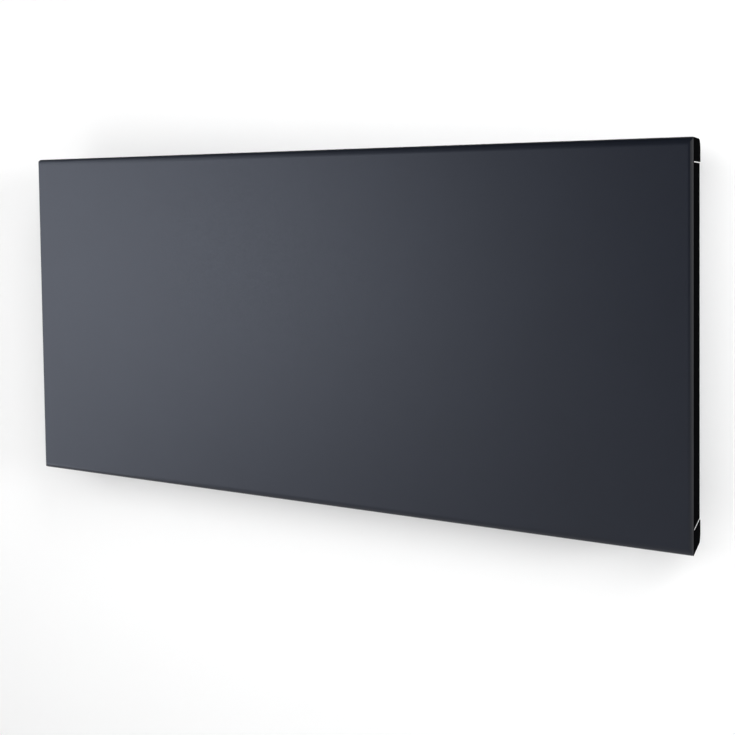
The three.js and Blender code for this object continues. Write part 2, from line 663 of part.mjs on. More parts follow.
function screwPlaces() {
  const places = [];
  for (const side of [-1, 1]) {
    for (const step of [1, 0, -1]) places.push([side * (HALF_LENGTH - SCREW_INSET), step * SCREW_Z]);
  }
  return places;
}

// A pan-head screw whose head seats on the face at y = face. Its shank runs the way of drive:
// -1 is towards the room and 1 towards the wall.
function screw(x, z, face, drive) {
  const seat = -SEAT_GAP;
  const crown = seat - SCREW_HEAD_HEIGHT;
  const profile = [
    [0, SCREW_LENGTH],
    [SCREW_SHANK_RADIUS, SCREW_LENGTH - SCREW_POINT],
    [SCREW_SHANK_RADIUS, seat],
    [SCREW_HEAD_RADIUS, seat],
    [SCREW_HEAD_RADIUS, seat - SCREW_HEAD_HEIGHT / 2],
    [SCREW_HEAD_RADIUS - SCREW_HEAD_HEIGHT / 2, crown],
    [0, crown],
  ];
  return revolved("y", [x, z], profile.map(([radius, depth]) => [radius, face + drive * depth]), SMALL_SIDES);
}

// Wall bracket: two uprights and a rail, with an arm and hook at each corner
function hookArm(x, saddle) {
  const frontY = ARM_FRONT_Y;
  const noseBack = frontY - HOOK_ROOM;
  const noseFront = noseBack - HOOK_NOSE_THICKNESS;
  const root = -ARM_FLANGE / 2;
  const outline = polygon([
    [root, saddle + ARM_ABOVE_SADDLE + ARM_TAPER],
    [frontY, saddle + ARM_ABOVE_SADDLE],
    [frontY, saddle],
    [noseBack, saddle],
    [noseBack, saddle + HOOK_NOSE],
    [noseFront + HOOK_NOSE_SLOPE, saddle + HOOK_NOSE],
    [noseFront, saddle + HOOK_NOSE - HOOK_NOSE_SLOPE],
    [noseFront, saddle - HOOK_TONGUE + HOOK_NOSE_SLOPE],
    [noseFront + HOOK_NOSE_SLOPE, saddle - HOOK_TONGUE],
    [frontY, saddle - HOOK_TONGUE],
    [frontY, saddle - ARM_BELOW_SADDLE],
    [root, saddle - ARM_BELOW_SADDLE - ARM_TAPER],
  ]);
  const [from, to] = x > 0 ? [x, x + BRACKET_SHEET] : [x - BRACKET_SHEET, x];
  return sweep("x", outline, from, to);
}

function upright(side) {
  const section = foldedSheet([
    [ARM_X, -ARM_FLANGE],
    [ARM_X, 0],
    [ARM_X + UPRIGHT_WIDTH, 0],
    [ARM_X + UPRIGHT_WIDTH, -RAIL_FLANGE],
  ], BRACKET_SHEET);
  return sweep("z", polygon(mirrored(section, side)), -UPRIGHT_HALF_HEIGHT, UPRIGHT_HALF_HEIGHT);
}

function wallBracket() {
  const railSection = foldedSheet([
    [-RAIL_FLANGE, RAIL_HALF_HEIGHT],
    [0, RAIL_HALF_HEIGHT],
    [0, -RAIL_HALF_HEIGHT],
    [-RAIL_FLANGE, -RAIL_HALF_HEIGHT],
  ], BRACKET_SHEET);
  const rail = sweep("x", polygon(railSection), -ARM_X - BRACKET_SHEET / 2, ARM_X + BRACKET_SHEET / 2);
  const pieces = [rail];
  const holes = [];
  for (const side of [-1, 1]) {
    pieces.push(upright(side), hookArm(side * ARM_X, SADDLE_Z), hookArm(side * ARM_X, -SADDLE_Z));
    for (const level of [-1, 1]) {
      const centre = [side * (ARM_X + UPRIGHT_WIDTH / 2), level * WALL_HOLE_Z];
      holes.push(sweep("y", centredOutline(centre, WALL_SLOT_LENGTH, 2 * WALL_HOLE_RADIUS, WALL_HOLE_RADIUS),
        -BRACKET_SHEET - CUT_OVERRUN, CUT_OVERRUN, BEND_STEPS));
    }
    holes.push(round("y", [(side * RAIL_HOLE_SPACING) / 2, 0], WALL_HOLE_RADIUS,
      -BRACKET_SHEET - CUT_OVERRUN, CUT_OVERRUN));
  }
  return without(joined(pieces), holes);
}

// Heating element: a tube through a pack of pressed fins, with a pin at each end
function heatingElement() {
  const centre = [ELEMENT_Y, ELEMENT_Z];
  const tubeHalf = FIN_PACK_HALF + TUBE_PAST_FINS;
  const pinHalf = tubeHalf + PIN_LENGTH;
  const middle = ELEMENT_CENTRE_X;
  const tube = round("x", centre, TUBE_RADIUS, middle - tubeHalf, middle + tubeHalf,
    TUBE_RADIUS, SMALL_SIDES);
  const pins = round("x", centre, PIN_RADIUS, middle - pinHalf, middle + pinHalf, PIN_RADIUS, SMALL_SIDES);
  const fins = row(FIN_COUNT, FIN_PITCH).map((x) => sweep("x",
    chamferedOutline(centre, FIN_DEPTH, FIN_HEIGHT, FIN_CORNER),
    middle + x - FIN_SHEET / 2, middle + x + FIN_SHEET / 2));
  return joined([tube, pins, ...fins]);
}

function elementBracketX(side) {
  return ELEMENT_CENTRE_X + side * (FIN_PACK_HALF + ELEMENT_BRACKET_PAST_FINS);
}

function elementBracket(side) {
  const webX = elementBracketX(side);
  const footY = COVER_INNER_Y - SEAT_GAP;
  const section = foldedSheet([
    [0, ELEMENT_Y - FIN_DEPTH / 2],
    [0, footY],
    [ELEMENT_BRACKET_FOOT, footY],
  ], ELEMENT_BRACKET_SHEET).map(([x, y]) => [webX + side * x, y]);
  const low = ELEMENT_Z - FIN_HEIGHT / 2;
  const high = ELEMENT_Z + FIN_HEIGHT / 2;
  const bushHole = round("x", [ELEMENT_Y, ELEMENT_Z], BUSH_NECK_RADIUS + SEAT_GAP,
    webX - CUT_OVERRUN, webX + CUT_OVERRUN);
  const rivetHoles = rivetPlaces().map(([x, z]) => round("y", [x, z], RIVET_RADIUS + SEAT_GAP,
    footY - ELEMENT_BRACKET_SHEET - CUT_OVERRUN, footY + CUT_OVERRUN,
    RIVET_RADIUS + SEAT_GAP, SMALL_SIDES));
  return without(sweep("z", polygon(section), low, high), [bushHole, ...rivetHoles]);
}

function elementBush(side) {
  const webX = elementBracketX(side);
  const webMiddle = webX + (side * ELEMENT_BRACKET_SHEET) / 2;
  const neckHalf = ELEMENT_BRACKET_SHEET / 2 + SEAT_GAP;
  const bore = TUBE_RADIUS + SEAT_GAP;
  return revolved("x", [ELEMENT_Y, ELEMENT_Z], [
    [bore, webMiddle - neckHalf - BUSH_FLANGE],
    [BUSH_FLANGE_RADIUS, webMiddle - neckHalf - BUSH_FLANGE],
    [BUSH_FLANGE_RADIUS, webMiddle - neckHalf],
    [BUSH_NECK_RADIUS, webMiddle - neckHalf],
    [BUSH_NECK_RADIUS, webMiddle + neckHalf],
    [BUSH_FLANGE_RADIUS, webMiddle + neckHalf],
    [BUSH_FLANGE_RADIUS, webMiddle + neckHalf + BUSH_FLANGE],
    [bore, webMiddle + neckHalf + BUSH_FLANGE],
    [bore, webMiddle - neckHalf - BUSH_FLANGE],
  ], MEDIUM_SIDES);
}

function rivetPlaces() {
  const places = [];
  for (const side of [-1, 1]) {
    const x = elementBracketX(side) + (side * (ELEMENT_BRACKET_FOOT + ELEMENT_BRACKET_SHEET)) / 2;
    for (const step of [1, -1]) places.push([x, ELEMENT_Z + (step * RIVET_SPACING) / 2]);
  }
  return places;
}

function bracketRivet(x, z) {
  const headSeat = COVER_Y + SEAT_GAP;
  const tailSeat = COVER_INNER_Y - SEAT_GAP - ELEMENT_BRACKET_SHEET - SEAT_GAP;
  return revolved("y", [x, z], [
    [0, tailSeat - RIVET_TAIL_LENGTH],
    [RIVET_TAIL_RADIUS, tailSeat - RIVET_TAIL_LENGTH / 2],
    [RIVET_TAIL_RADIUS, tailSeat],
    [RIVET_RADIUS, tailSeat],
    [RIVET_RADIUS, headSeat],
    [RIVET_HEAD_RADIUS, headSeat],
    [0, headSeat + RIVET_HEAD_HEIGHT],
  ], SMALL_SIDES);
}

// Heat reflector: a sheet behind the fins, on hollow stand-offs pressed towards the rear cover
function heatReflector() {
  const low = ELEMENT_Z - REFLECTOR_BELOW_ELEMENT;
  const high = ELEMENT_Z + REFLECTOR_ABOVE_ELEMENT;
  const half = FIN_PACK_HALF + ELEMENT_BRACKET_PAST_FINS - LOOSE_GAP;
  const section = foldedSheet([
    [REFLECTOR_Y - REFLECTOR_LIP, high + REFLECTOR_LIP],
    [REFLECTOR_Y, high],
    [REFLECTOR_Y, low],
    [REFLECTOR_Y - REFLECTOR_LIP, low - REFLECTOR_LIP],
  ], REFLECTOR_SHEET);
  const sheet = sweep("x", polygon(section), ELEMENT_CENTRE_X - half, ELEMENT_CENTRE_X + half);
  const seat = COVER_INNER_Y - SEAT_GAP;
  const outer = [];
  const inner = [];
  for (const x of row(STANDOFF_COLUMNS, STANDOFF_SPACING)) {
    for (const z of [ELEMENT_Z - STANDOFF_LOW, ELEMENT_Z + STANDOFF_HIGH]) {
      const centre = [ELEMENT_CENTRE_X + x, z];
      outer.push(round("y", centre, STANDOFF_BASE_RADIUS,
        REFLECTOR_Y - REFLECTOR_SHEET / 2, seat, STANDOFF_TOP_RADIUS));
      inner.push(round("y", centre, STANDOFF_BASE_RADIUS - REFLECTOR_SHEET / 2,
        REFLECTOR_Y - REFLECTOR_SHEET * 2, seat - REFLECTOR_SHEET, STANDOFF_TOP_RADIUS - REFLECTOR_SHEET));
    }
  }
  return without(joined([sheet, ...outer]), inner);
}

// Thermal cut-out on a strap over the middle of the fins
function cutoutStrap() {
  const wallY = REFLECTOR_Y - REFLECTOR_SHEET - SEAT_GAP;
  const section = foldedSheet([
    [wallY, STRAP_Z + STRAP_RISE],
    [wallY, STRAP_Z],
    [wallY - STRAP_REACH, STRAP_Z],
  ], STRAP_SHEET);
  const half = STRAP_WIDTH / 2;
  const strap = sweep("x", polygon(section), ELEMENT_CENTRE_X - half, ELEMENT_CENTRE_X + half);
  const hole = round("z", [ELEMENT_CENTRE_X, ELEMENT_Y], CUTOUT_STUB_RADIUS + SEAT_GAP,
    STRAP_Z - CUT_OVERRUN, STRAP_Z + CUT_OVERRUN, CUTOUT_STUB_RADIUS + SEAT_GAP, SMALL_SIDES);
  return strap.subtract(hole);
}

function thermalCutout() {
  const seat = STRAP_Z + STRAP_SHEET + SEAT_GAP;
  return revolved("z", [ELEMENT_CENTRE_X, ELEMENT_Y], [
    [0, seat - CUTOUT_STUB_LENGTH],
    [CUTOUT_STUB_RADIUS, seat - CUTOUT_STUB_LENGTH],
    [CUTOUT_STUB_RADIUS, seat],
    [CUTOUT_RADIUS, seat],
    [CUTOUT_RADIUS, seat + CUTOUT_HEIGHT / 2],
    [CUTOUT_RADIUS - CUTOUT_STEP, seat + CUTOUT_HEIGHT / 2],
    [CUTOUT_RADIUS - CUTOUT_STEP, seat + CUTOUT_HEIGHT],
    [0, seat + CUTOUT_HEIGHT],
  ]);
}

// Control housing: a tray behind the left end plate, open towards it, with bosses for the board
function bossPlaces() {
  const places = [];
  for (const side of [-1, 1]) {
    for (const level of [-1, 1]) {
      places.push([
        CONTROL_Y + side * (BOARD_WIDTH / 2 - BOSS_RADIUS - BOSS_MARGIN),
        FASCIA_CENTRE_Z + level * (BOARD_HEIGHT / 2 - BOSS_INSET)]);
    }
  }
  return places;
}

function controlHousing() {
  const mouth = PLATE_INNER_X + SEAT_GAP;
  const shell = block(
    [mouth, HOUSING_FRONT_Y, HOUSING_LOW], [HOUSING_BACK_X, HOUSING_REAR_Y, HOUSING_HIGH]);
  const cavity = block(
    [mouth - CUT_OVERRUN, HOUSING_FRONT_Y + HOUSING_WALL, HOUSING_LOW + HOUSING_WALL],
    [HOUSING_BACK_X - HOUSING_WALL, HOUSING_REAR_Y - HOUSING_WALL, HOUSING_HIGH - HOUSING_WALL]);
  const floor = [HOUSING_LOW - CUT_OVERRUN, HOUSING_LOW + HOUSING_WALL + CUT_OVERRUN];
  const leadHole = block(
    [HOUSING_BACK_X - HOUSING_WALL - LEAD_HOLE_DEPTH, CONTROL_Y - LEAD_HOLE_WIDTH / 2, floor[0]],
    [HOUSING_BACK_X - HOUSING_WALL, CONTROL_Y + LEAD_HOLE_WIDTH / 2, floor[1]]);
  const sensorHole = round("z", [PLATE_INNER_X + SENSOR_INSET, CONTROL_Y], SENSOR_RADIUS + SEAT_GAP,
    floor[0], floor[1], SENSOR_RADIUS + SEAT_GAP, SMALL_SIDES);
  const bosses = bossPlaces().map((centre) => round("x", centre, BOSS_RADIUS,
    BOARD_X + BOARD_THICKNESS + SEAT_GAP, HOUSING_BACK_X - HOUSING_WALL / 2, BOSS_RADIUS, SMALL_SIDES));
  return joined([without(shell, [cavity, leadHole, sensorHole]), ...bosses]);
}

// Control fascia: a moulded bezel with a skirt through the end plate
function controlFascia() {
  const centre = [CONTROL_Y, FASCIA_CENTRE_Z];
  const flangeBack = LEFT_X - SEAT_GAP;
  const skirtEnd = FASCIA_BACK_X + FASCIA_SKIRT;
  const plugInset = 2 * (FASCIA_FLANGE + SEAT_GAP);
  const roomInset = plugInset + 2 * FASCIA_WALL;
  const flange = sweep("x", centredOutline(centre, FASCIA_WIDTH, FASCIA_HEIGHT, FASCIA_CORNER),
    FASCIA_FACE_X, flangeBack, FORM_STEPS);
  const plug = sweep("x", centredOutline(centre, FASCIA_WIDTH - plugInset, FASCIA_HEIGHT - plugInset,
    FASCIA_CORNER - FASCIA_FLANGE - SEAT_GAP), FASCIA_FACE_X + FASCIA_FLANGE / 2, skirtEnd);
  const room = sweep("x", centredOutline(centre, FASCIA_WIDTH - roomInset, FASCIA_HEIGHT - roomInset,
    FASCIA_WALL), FASCIA_BACK_X, skirtEnd + CUT_OVERRUN);
  const windowCentre = [CONTROL_Y, WINDOW_CENTRE_Z];
  const rebate = sweep("x", centredOutline(windowCentre,
    WINDOW_WIDTH + 2 * SEAT_GAP, WINDOW_HEIGHT + 2 * SEAT_GAP, WINDOW_CORNER),
  FASCIA_FACE_X - CUT_OVERRUN, FASCIA_FACE_X + WINDOW_THICKNESS + SEAT_GAP);
  const view = sweep("x", centredOutline(windowCentre,
    WINDOW_WIDTH - 2 * WINDOW_LEDGE, WINDOW_HEIGHT - 2 * WINDOW_LEDGE, WINDOW_CORNER / 2),
  FASCIA_FACE_X, FASCIA_BACK_X + CUT_OVERRUN);
  const holes = BUTTON_CENTRES.map((z) => round("x", [CONTROL_Y, z], BUTTON_RADIUS + SEAT_GAP,
    FASCIA_FACE_X - CUT_OVERRUN, FASCIA_BACK_X + CUT_OVERRUN));
  return without(joined([flange, plug]), [room, rebate, view, ...holes]);
}

function displayWindow() {
  return sweep("x", centredOutline([CONTROL_Y, WINDOW_CENTRE_Z],
    WINDOW_WIDTH, WINDOW_HEIGHT, WINDOW_CORNER - SEAT_GAP),
  FASCIA_FACE_X, FASCIA_FACE_X + WINDOW_THICKNESS);
}

// A button with a crowned face, a flange behind the fascia and a stem towards its key switch
function button(z) {
  const face = FASCIA_FACE_X - BUTTON_PROUD;
  const flange = FASCIA_BACK_X + SEAT_GAP;
  const stemEnd = BOARD_X - KEY_SWITCH_HEIGHT - KEY_STEM_HEIGHT - BUTTON_TRAVEL - SEAT_GAP;
  return revolved("x", [CONTROL_Y, z], [
    [0, face],
    [BUTTON_RADIUS - BUTTON_CROWN, face],
    [BUTTON_RADIUS, face + BUTTON_CROWN],
    [BUTTON_RADIUS, flange],
    [BUTTON_FLANGE_RADIUS, flange],
    [BUTTON_FLANGE_RADIUS, flange + BUTTON_FLANGE],
    [BUTTON_STEM_RADIUS, flange + BUTTON_FLANGE],
    [BUTTON_STEM_RADIUS, stemEnd],
    [0, stemEnd],
  ], MEDIUM_SIDES);
}

// Circuit board with its display module and key switches, which face the fascia
function controlBoard() {
  const overlap = BOARD_THICKNESS / 2;
  const board = block(
    [BOARD_X, CONTROL_Y - BOARD_WIDTH / 2, FASCIA_CENTRE_Z - BOARD_HEIGHT / 2],
    [BOARD_X + BOARD_THICKNESS, CONTROL_Y + BOARD_WIDTH / 2, FASCIA_CENTRE_Z + BOARD_HEIGHT / 2]);
  const moduleY = WINDOW_WIDTH / 2 - DISPLAY_MODULE_INSET;
  const moduleZ = WINDOW_HEIGHT / 2 - DISPLAY_MODULE_INSET;
  const display = block(
    [BOARD_X - DISPLAY_MODULE_HEIGHT, CONTROL_Y - moduleY, WINDOW_CENTRE_Z - moduleZ],
    [BOARD_X + overlap, CONTROL_Y + moduleY, WINDOW_CENTRE_Z + moduleZ]);
  const keys = BUTTON_CENTRES.flatMap((z) => [
    block(
      [BOARD_X - KEY_SWITCH_HEIGHT, CONTROL_Y - KEY_SWITCH_SIDE / 2, z - KEY_SWITCH_SIDE / 2],
      [BOARD_X + overlap, CONTROL_Y + KEY_SWITCH_SIDE / 2, z + KEY_SWITCH_SIDE / 2]),
    round("x", [CONTROL_Y, z], KEY_STEM_RADIUS, BOARD_X - KEY_SWITCH_HEIGHT - KEY_STEM_HEIGHT,
      BOARD_X - KEY_SWITCH_HEIGHT / 2, KEY_STEM_RADIUS, SMALL_SIDES),
  ]);
  return joined([board, display, ...keys]);
}

function controlRelay() {
  const seat = BOARD_X + BOARD_THICKNESS + SEAT_GAP;
  const z = LOWER_BOSS_Z + BOSS_RADIUS + RELAY_ABOVE_BOSS + RELAY_HEIGHT / 2;
  return sweep("x", centredOutline([CONTROL_Y, z], RELAY_WIDTH, RELAY_HEIGHT, RELAY_CORNER),
    seat, seat + RELAY_DEPTH);
}

// Mains switch: a snap-in body with a pocket for the rocker and tags for the leads
function switchBody() {
  const centre = [CONTROL_Y, SWITCH_CENTRE_Z];
  const flangeBack = LEFT_X - SEAT_GAP;
  const bodyEnd = flangeBack + SWITCH_DEPTH;
  const bezel = sweep("x", centredOutline(centre,
    SWITCH_WIDTH + 2 * SWITCH_BEZEL, SWITCH_HEIGHT + 2 * SWITCH_BEZEL, SWITCH_BEZEL),
  SWITCH_FACE_X, flangeBack, FORM_STEPS);
  const body = block(
    [flangeBack - SWITCH_BEZEL_THICKNESS / 2, CONTROL_Y - SWITCH_WIDTH / 2,
      SWITCH_CENTRE_Z - SWITCH_HEIGHT / 2],
    [bodyEnd, CONTROL_Y + SWITCH_WIDTH / 2, SWITCH_CENTRE_Z + SWITCH_HEIGHT / 2]);
  const tags = row(SWITCH_TAG_COUNT, SWITCH_TAG_SPACING).map((z) => block(
    [bodyEnd - SWITCH_WALL, CONTROL_Y - SWITCH_TAG_WIDTH / 2, SWITCH_CENTRE_Z + z - SWITCH_TAG_SHEET / 2],
    [bodyEnd + SWITCH_TAG_LENGTH, CONTROL_Y + SWITCH_TAG_WIDTH / 2,
      SWITCH_CENTRE_Z + z + SWITCH_TAG_SHEET / 2]));
  const pocketY = SWITCH_WIDTH / 2 - SWITCH_WALL;
  const pocketZ = SWITCH_HEIGHT / 2 - SWITCH_WALL;
  const pocket = block(
    [SWITCH_FACE_X - CUT_OVERRUN, CONTROL_Y - pocketY, SWITCH_CENTRE_Z - pocketZ],
    [SWITCH_FACE_X + SWITCH_POCKET_DEPTH, CONTROL_Y + pocketY, SWITCH_CENTRE_Z + pocketZ]);
  const pinHole = round("y", [ROCKER_PIVOT_X, SWITCH_CENTRE_Z], ROCKER_PIN_RADIUS + SEAT_GAP,
    CONTROL_Y - SWITCH_WIDTH, CONTROL_Y + SWITCH_WIDTH, ROCKER_PIN_RADIUS + SEAT_GAP, SMALL_SIDES);
  return without(joined([bezel, body, ...tags]), [pocket, pinHole]);
}

// Rocker, tipped as it is when the switch is on
function powerRocker() {
  const tilt = -THREE.MathUtils.degToRad(ROCKER_TILT_DEGREES);
  const crown = -ROCKER_PIVOT_DEPTH - ROCKER_PROUD;
  const profile = [
    [crown, -ROCKER_HALF_LENGTH],
    [crown + ROCKER_DISH, 0],
    [crown, ROCKER_HALF_LENGTH],
    [0, ROCKER_HALF_LENGTH],
    [ROCKER_BACK, ROCKER_HALF_LENGTH / 2],
    [ROCKER_BACK, -ROCKER_HALF_LENGTH / 2],
    [0, -ROCKER_HALF_LENGTH],
  ].map(([x, z]) => [
    ROCKER_PIVOT_X + x * Math.cos(tilt) + z * Math.sin(tilt),
    SWITCH_CENTRE_Z - x * Math.sin(tilt) + z * Math.cos(tilt),
  ]);
  const half = SWITCH_WIDTH / 2 - SWITCH_WALL - SEAT_GAP;
  const pinHalf = SWITCH_WIDTH / 2 - SEAT_GAP;
  return joined([
    sweep("y", polygon(profile), CONTROL_Y - half, CONTROL_Y + half),
    round("y", [ROCKER_PIVOT_X, SWITCH_CENTRE_Z], ROCKER_PIN_RADIUS,
      CONTROL_Y - pinHalf, CONTROL_Y + pinHalf, ROCKER_PIN_RADIUS, SMALL_SIDES),
  ]);
}

// Terminal block: wells for its screws face the room, and lead entries run up through it
function terminalBlock() {
  const rear = COVER_INNER_Y - SEAT_GAP;
  const front = rear - TERMINAL_DEPTH;
  const body = sweep("x", roundedOutline(
    [front, TERMINAL_CENTRE_Z - TERMINAL_HEIGHT / 2], [rear, TERMINAL_CENTRE_Z + TERMINAL_HEIGHT / 2],
    [TERMINAL_HOLE_RADIUS, 0, 0, TERMINAL_HOLE_RADIUS]),
  TERMINAL_CENTRE_X - TERMINAL_LENGTH / 2, TERMINAL_CENTRE_X + TERMINAL_LENGTH / 2);
  const cuts = [];
  for (const x of TERMINAL_WAYS) {
    cuts.push(round("y", [x, TERMINAL_CENTRE_Z], TERMINAL_HOLE_RADIUS,
      front - CUT_OVERRUN, front + TERMINAL_WELL, TERMINAL_HOLE_RADIUS, SMALL_SIDES));
    for (const side of [-1, 1]) {
      const edge = TERMINAL_CENTRE_Z + side * (TERMINAL_HEIGHT / 2 + CUT_OVERRUN);
      const blind = TERMINAL_CENTRE_Z + side * TERMINAL_HOLE_RADIUS * 2;
      cuts.push(round("z", [x, TERMINAL_Y], TERMINAL_ENTRY_RADIUS,
        Math.min(edge, blind), Math.max(edge, blind), TERMINAL_ENTRY_RADIUS, SMALL_SIDES));
    }
  }
  return without(body, cuts);
}

// Cable gland: a bush with an open bore, held in the rear cover by its flange and collar
function cableGland() {
  const flange = COVER_Y + SEAT_GAP;
  const collar = COVER_INNER_Y - SEAT_GAP;
  return revolved("y", [TERMINAL_CENTRE_X, GLAND_CENTRE_Z], [
    [GLAND_BORE_RADIUS, collar - GLAND_COLLAR],
    [GLAND_NECK_RADIUS, collar - GLAND_COLLAR],
    [GLAND_COLLAR_RADIUS, collar],
    [GLAND_NECK_RADIUS, collar],
    [GLAND_NECK_RADIUS, flange],
    [GLAND_FLANGE_RADIUS, flange],
    [GLAND_FLANGE_RADIUS, flange + GLAND_FLANGE - GLAND_CHAMFER],
    [GLAND_FLANGE_RADIUS - GLAND_CHAMFER, flange + GLAND_FLANGE],
    [GLAND_BORE_RADIUS, flange + GLAND_FLANGE],
    [GLAND_BORE_RADIUS, collar - GLAND_COLLAR],
  ]);
}

// Room sensor: a probe that hangs through the floor of the control housing into the rising air
function roomSensor() {
  const seat = HOUSING_LOW + HOUSING_WALL + SEAT_GAP;
  const tip = seat - SENSOR_LENGTH;
  return revolved("z", [PLATE_INNER_X + SENSOR_INSET, CONTROL_Y], [
    [0, tip],
    [SENSOR_RADIUS / 2, tip],
    [SENSOR_RADIUS, tip + SENSOR_RADIUS / 2],
    [SENSOR_RADIUS, seat],
    [SENSOR_FLANGE_RADIUS, seat],
    [SENSOR_FLANGE_RADIUS, seat + SENSOR_FLANGE],
    [0, seat + SENSOR_FLANGE],
  ], SMALL_SIDES);
}

// An insulated lead along a smooth curve through its points
function lead(points) {
  const ring = Array.from({ length: LEAD_SIDES }, (_, i) => {
    const angle = (i / LEAD_SIDES) * 4 * QUARTER_TURN;
    return [LEAD_RADIUS * Math.cos(angle), LEAD_RADIUS * Math.sin(angle)];
  });
  const path = new THREE.CatmullRomCurve3(points.map((point) => new THREE.Vector3(...point)));
  return solidOf(new THREE.ExtrudeGeometry(polygon(ring), { steps: LEAD_STEPS, extrudePath: path }));
}

// From the terminal block up into the control housing, to the switch's upper tag
function supplyLead() {
  const start = TERMINAL_CENTRE_Z + TERMINAL_HEIGHT / 2 + SEAT_GAP;
  const tagZ = SWITCH_CENTRE_Z + SWITCH_TAG_SPACING / 2;
  return lead([
    [SUPPLY_WAY_X, TERMINAL_Y, start],
    [SUPPLY_WAY_X, TERMINAL_Y, start + LEAD_TAIL],
    [SUPPLY_WAY_X, CONTROL_Y - LEAD_ASIDE, start + LEAD_BEND],
    [SUPPLY_WAY_X - LEAD_RADIUS, CONTROL_Y - LEAD_ASIDE, HOUSING_LOW - LEAD_BEND * 2],
    [HOUSING_EXIT_X + LEAD_ASIDE, CONTROL_Y - LEAD_ASIDE, HOUSING_LOW - LEAD_BEND / 2],
    [HOUSING_EXIT_X + LEAD_ASIDE, CONTROL_Y - LEAD_ASIDE, SWITCH_CENTRE_Z - LEAD_BEND],
    [TAG_END_X + LEAD_BEND, CONTROL_Y - LEAD_RADIUS, SWITCH_CENTRE_Z],
    [TAG_END_X + LEAD_TAIL, CONTROL_Y, tagZ],
    [TAG_END_X, CONTROL_Y, tagZ],
  ]);
}

// From the switch's lower tag down out of the housing, to the element's left pin
function liveLead() {
  const tagZ = SWITCH_CENTRE_Z - SWITCH_TAG_SPACING / 2;
  const pinX = ELEMENT_CENTRE_X - PIN_END;
  const [exitX, exitY] = [HOUSING_EXIT_X - LEAD_RADIUS, CONTROL_Y + LEAD_ASIDE];
  return lead([
    [TAG_END_X, CONTROL_Y, tagZ],
    [TAG_END_X + LEAD_TAIL, CONTROL_Y, tagZ],
    [exitX, exitY, tagZ - LEAD_BEND],
    [exitX + LEAD_RADIUS, exitY, HOUSING_LOW - LEAD_BEND],
    [HOUSING_BACK_X + LEAD_BEND, exitY, HOUSING_LOW - LEAD_BEND * 2],
    [pinX - LEAD_BEND, ELEMENT_Y, ELEMENT_Z + LEAD_BEND],
    [pinX - LEAD_TAIL, ELEMENT_Y, ELEMENT_Z],
    [pinX, ELEMENT_Y, ELEMENT_Z],
  ]);
}

// From the terminal block along under the element, to its right pin
function neutralLead() {
  const start = TERMINAL_CENTRE_Z - TERMINAL_HEIGHT / 2 - SEAT_GAP;
  const pinX = ELEMENT_CENTRE_X + PIN_END;
  return lead([
    [NEUTRAL_WAY_X, TERMINAL_Y, start],
    [NEUTRAL_WAY_X, TERMINAL_Y, start - LEAD_BEND],
    [NEUTRAL_WAY_X + LEAD_BEND, ELEMENT_Y, LEAD_RUN_Z + LEAD_BEND],
    [NEUTRAL_WAY_X + LEAD_SWEEP, ELEMENT_Y, LEAD_RUN_Z],
    [ELEMENT_CENTRE_X, ELEMENT_Y, LEAD_RUN_Z],
    [pinX - LEAD_SWEEP, ELEMENT_Y, LEAD_RUN_Z],
    [pinX + LEAD_BEND, ELEMENT_Y, (LEAD_RUN_Z + ELEMENT_Z) / 2],
    [pinX + LEAD_TAIL, ELEMENT_Y, ELEMENT_Z],
    [pinX, ELEMENT_Y, ELEMENT_Z],
  ]);
}

// From the terminal block to the earth screw's head
function earthLead() {
  const start = TERMINAL_CENTRE_Z + TERMINAL_HEIGHT / 2 + SEAT_GAP;
  const headY = COVER_INNER_Y - SEAT_GAP - SCREW_HEAD_HEIGHT - SEAT_GAP;
  return lead([
    [EARTH_WAY_X, TERMINAL_Y, start],
    [EARTH_WAY_X, TERMINAL_Y, start + LEAD_BEND],
    [(EARTH_WAY_X + EARTH_CENTRE_X) / 2, headY - LEAD_BEND, EARTH_CENTRE_Z - LEAD_BEND / 2],
    [EARTH_CENTRE_X, headY - LEAD_BEND, EARTH_CENTRE_Z],
    [EARTH_CENTRE_X, headY - LEAD_TAIL, EARTH_CENTRE_Z],
    [EARTH_CENTRE_X, headY, EARTH_CENTRE_Z],
  ]);
}

// Finishes
const ANTHRACITE = { colour: 0x54575f, roughness: 0.5, metalness: 0 };
const BLACK_PAINT = { colour: 0x131417, roughness: 0.7, metalness: 0 };
const ZINC = { colour: 0x9a9da1, roughness: 0.45, metalness: 1 };
const ALUMINIUM = { colour: 0xb9bcc0, roughness: 0.35, metalness: 1 };
const BLACK_PLASTIC = { colour: 0x1a1b1e, roughness: 0.55, metalness: 0 };
const CERAMIC = { colour: 0xe2ddd0, roughness: 0.8, metalness: 0 };
const BOARD_GREEN = { colour: 0x1f5b39, roughness: 0.5, metalness: 0 };
const SMOKED = { colour: 0x0c0e11, roughness: 0.1, metalness: 0 };
const TERMINAL_WHITE = { colour: 0xdcdcd6, roughness: 0.6, metalness: 0 };
const LEAD_BROWN = { colour: 0x5b3520, roughness: 0.5, metalness: 0 };
const LEAD_BLUE = { colour: 0x2450a0, roughness: 0.5, metalness: 0 };
const LEAD_GREEN = { colour: 0x7f9a2a, roughness: 0.5, metalness: 0 };

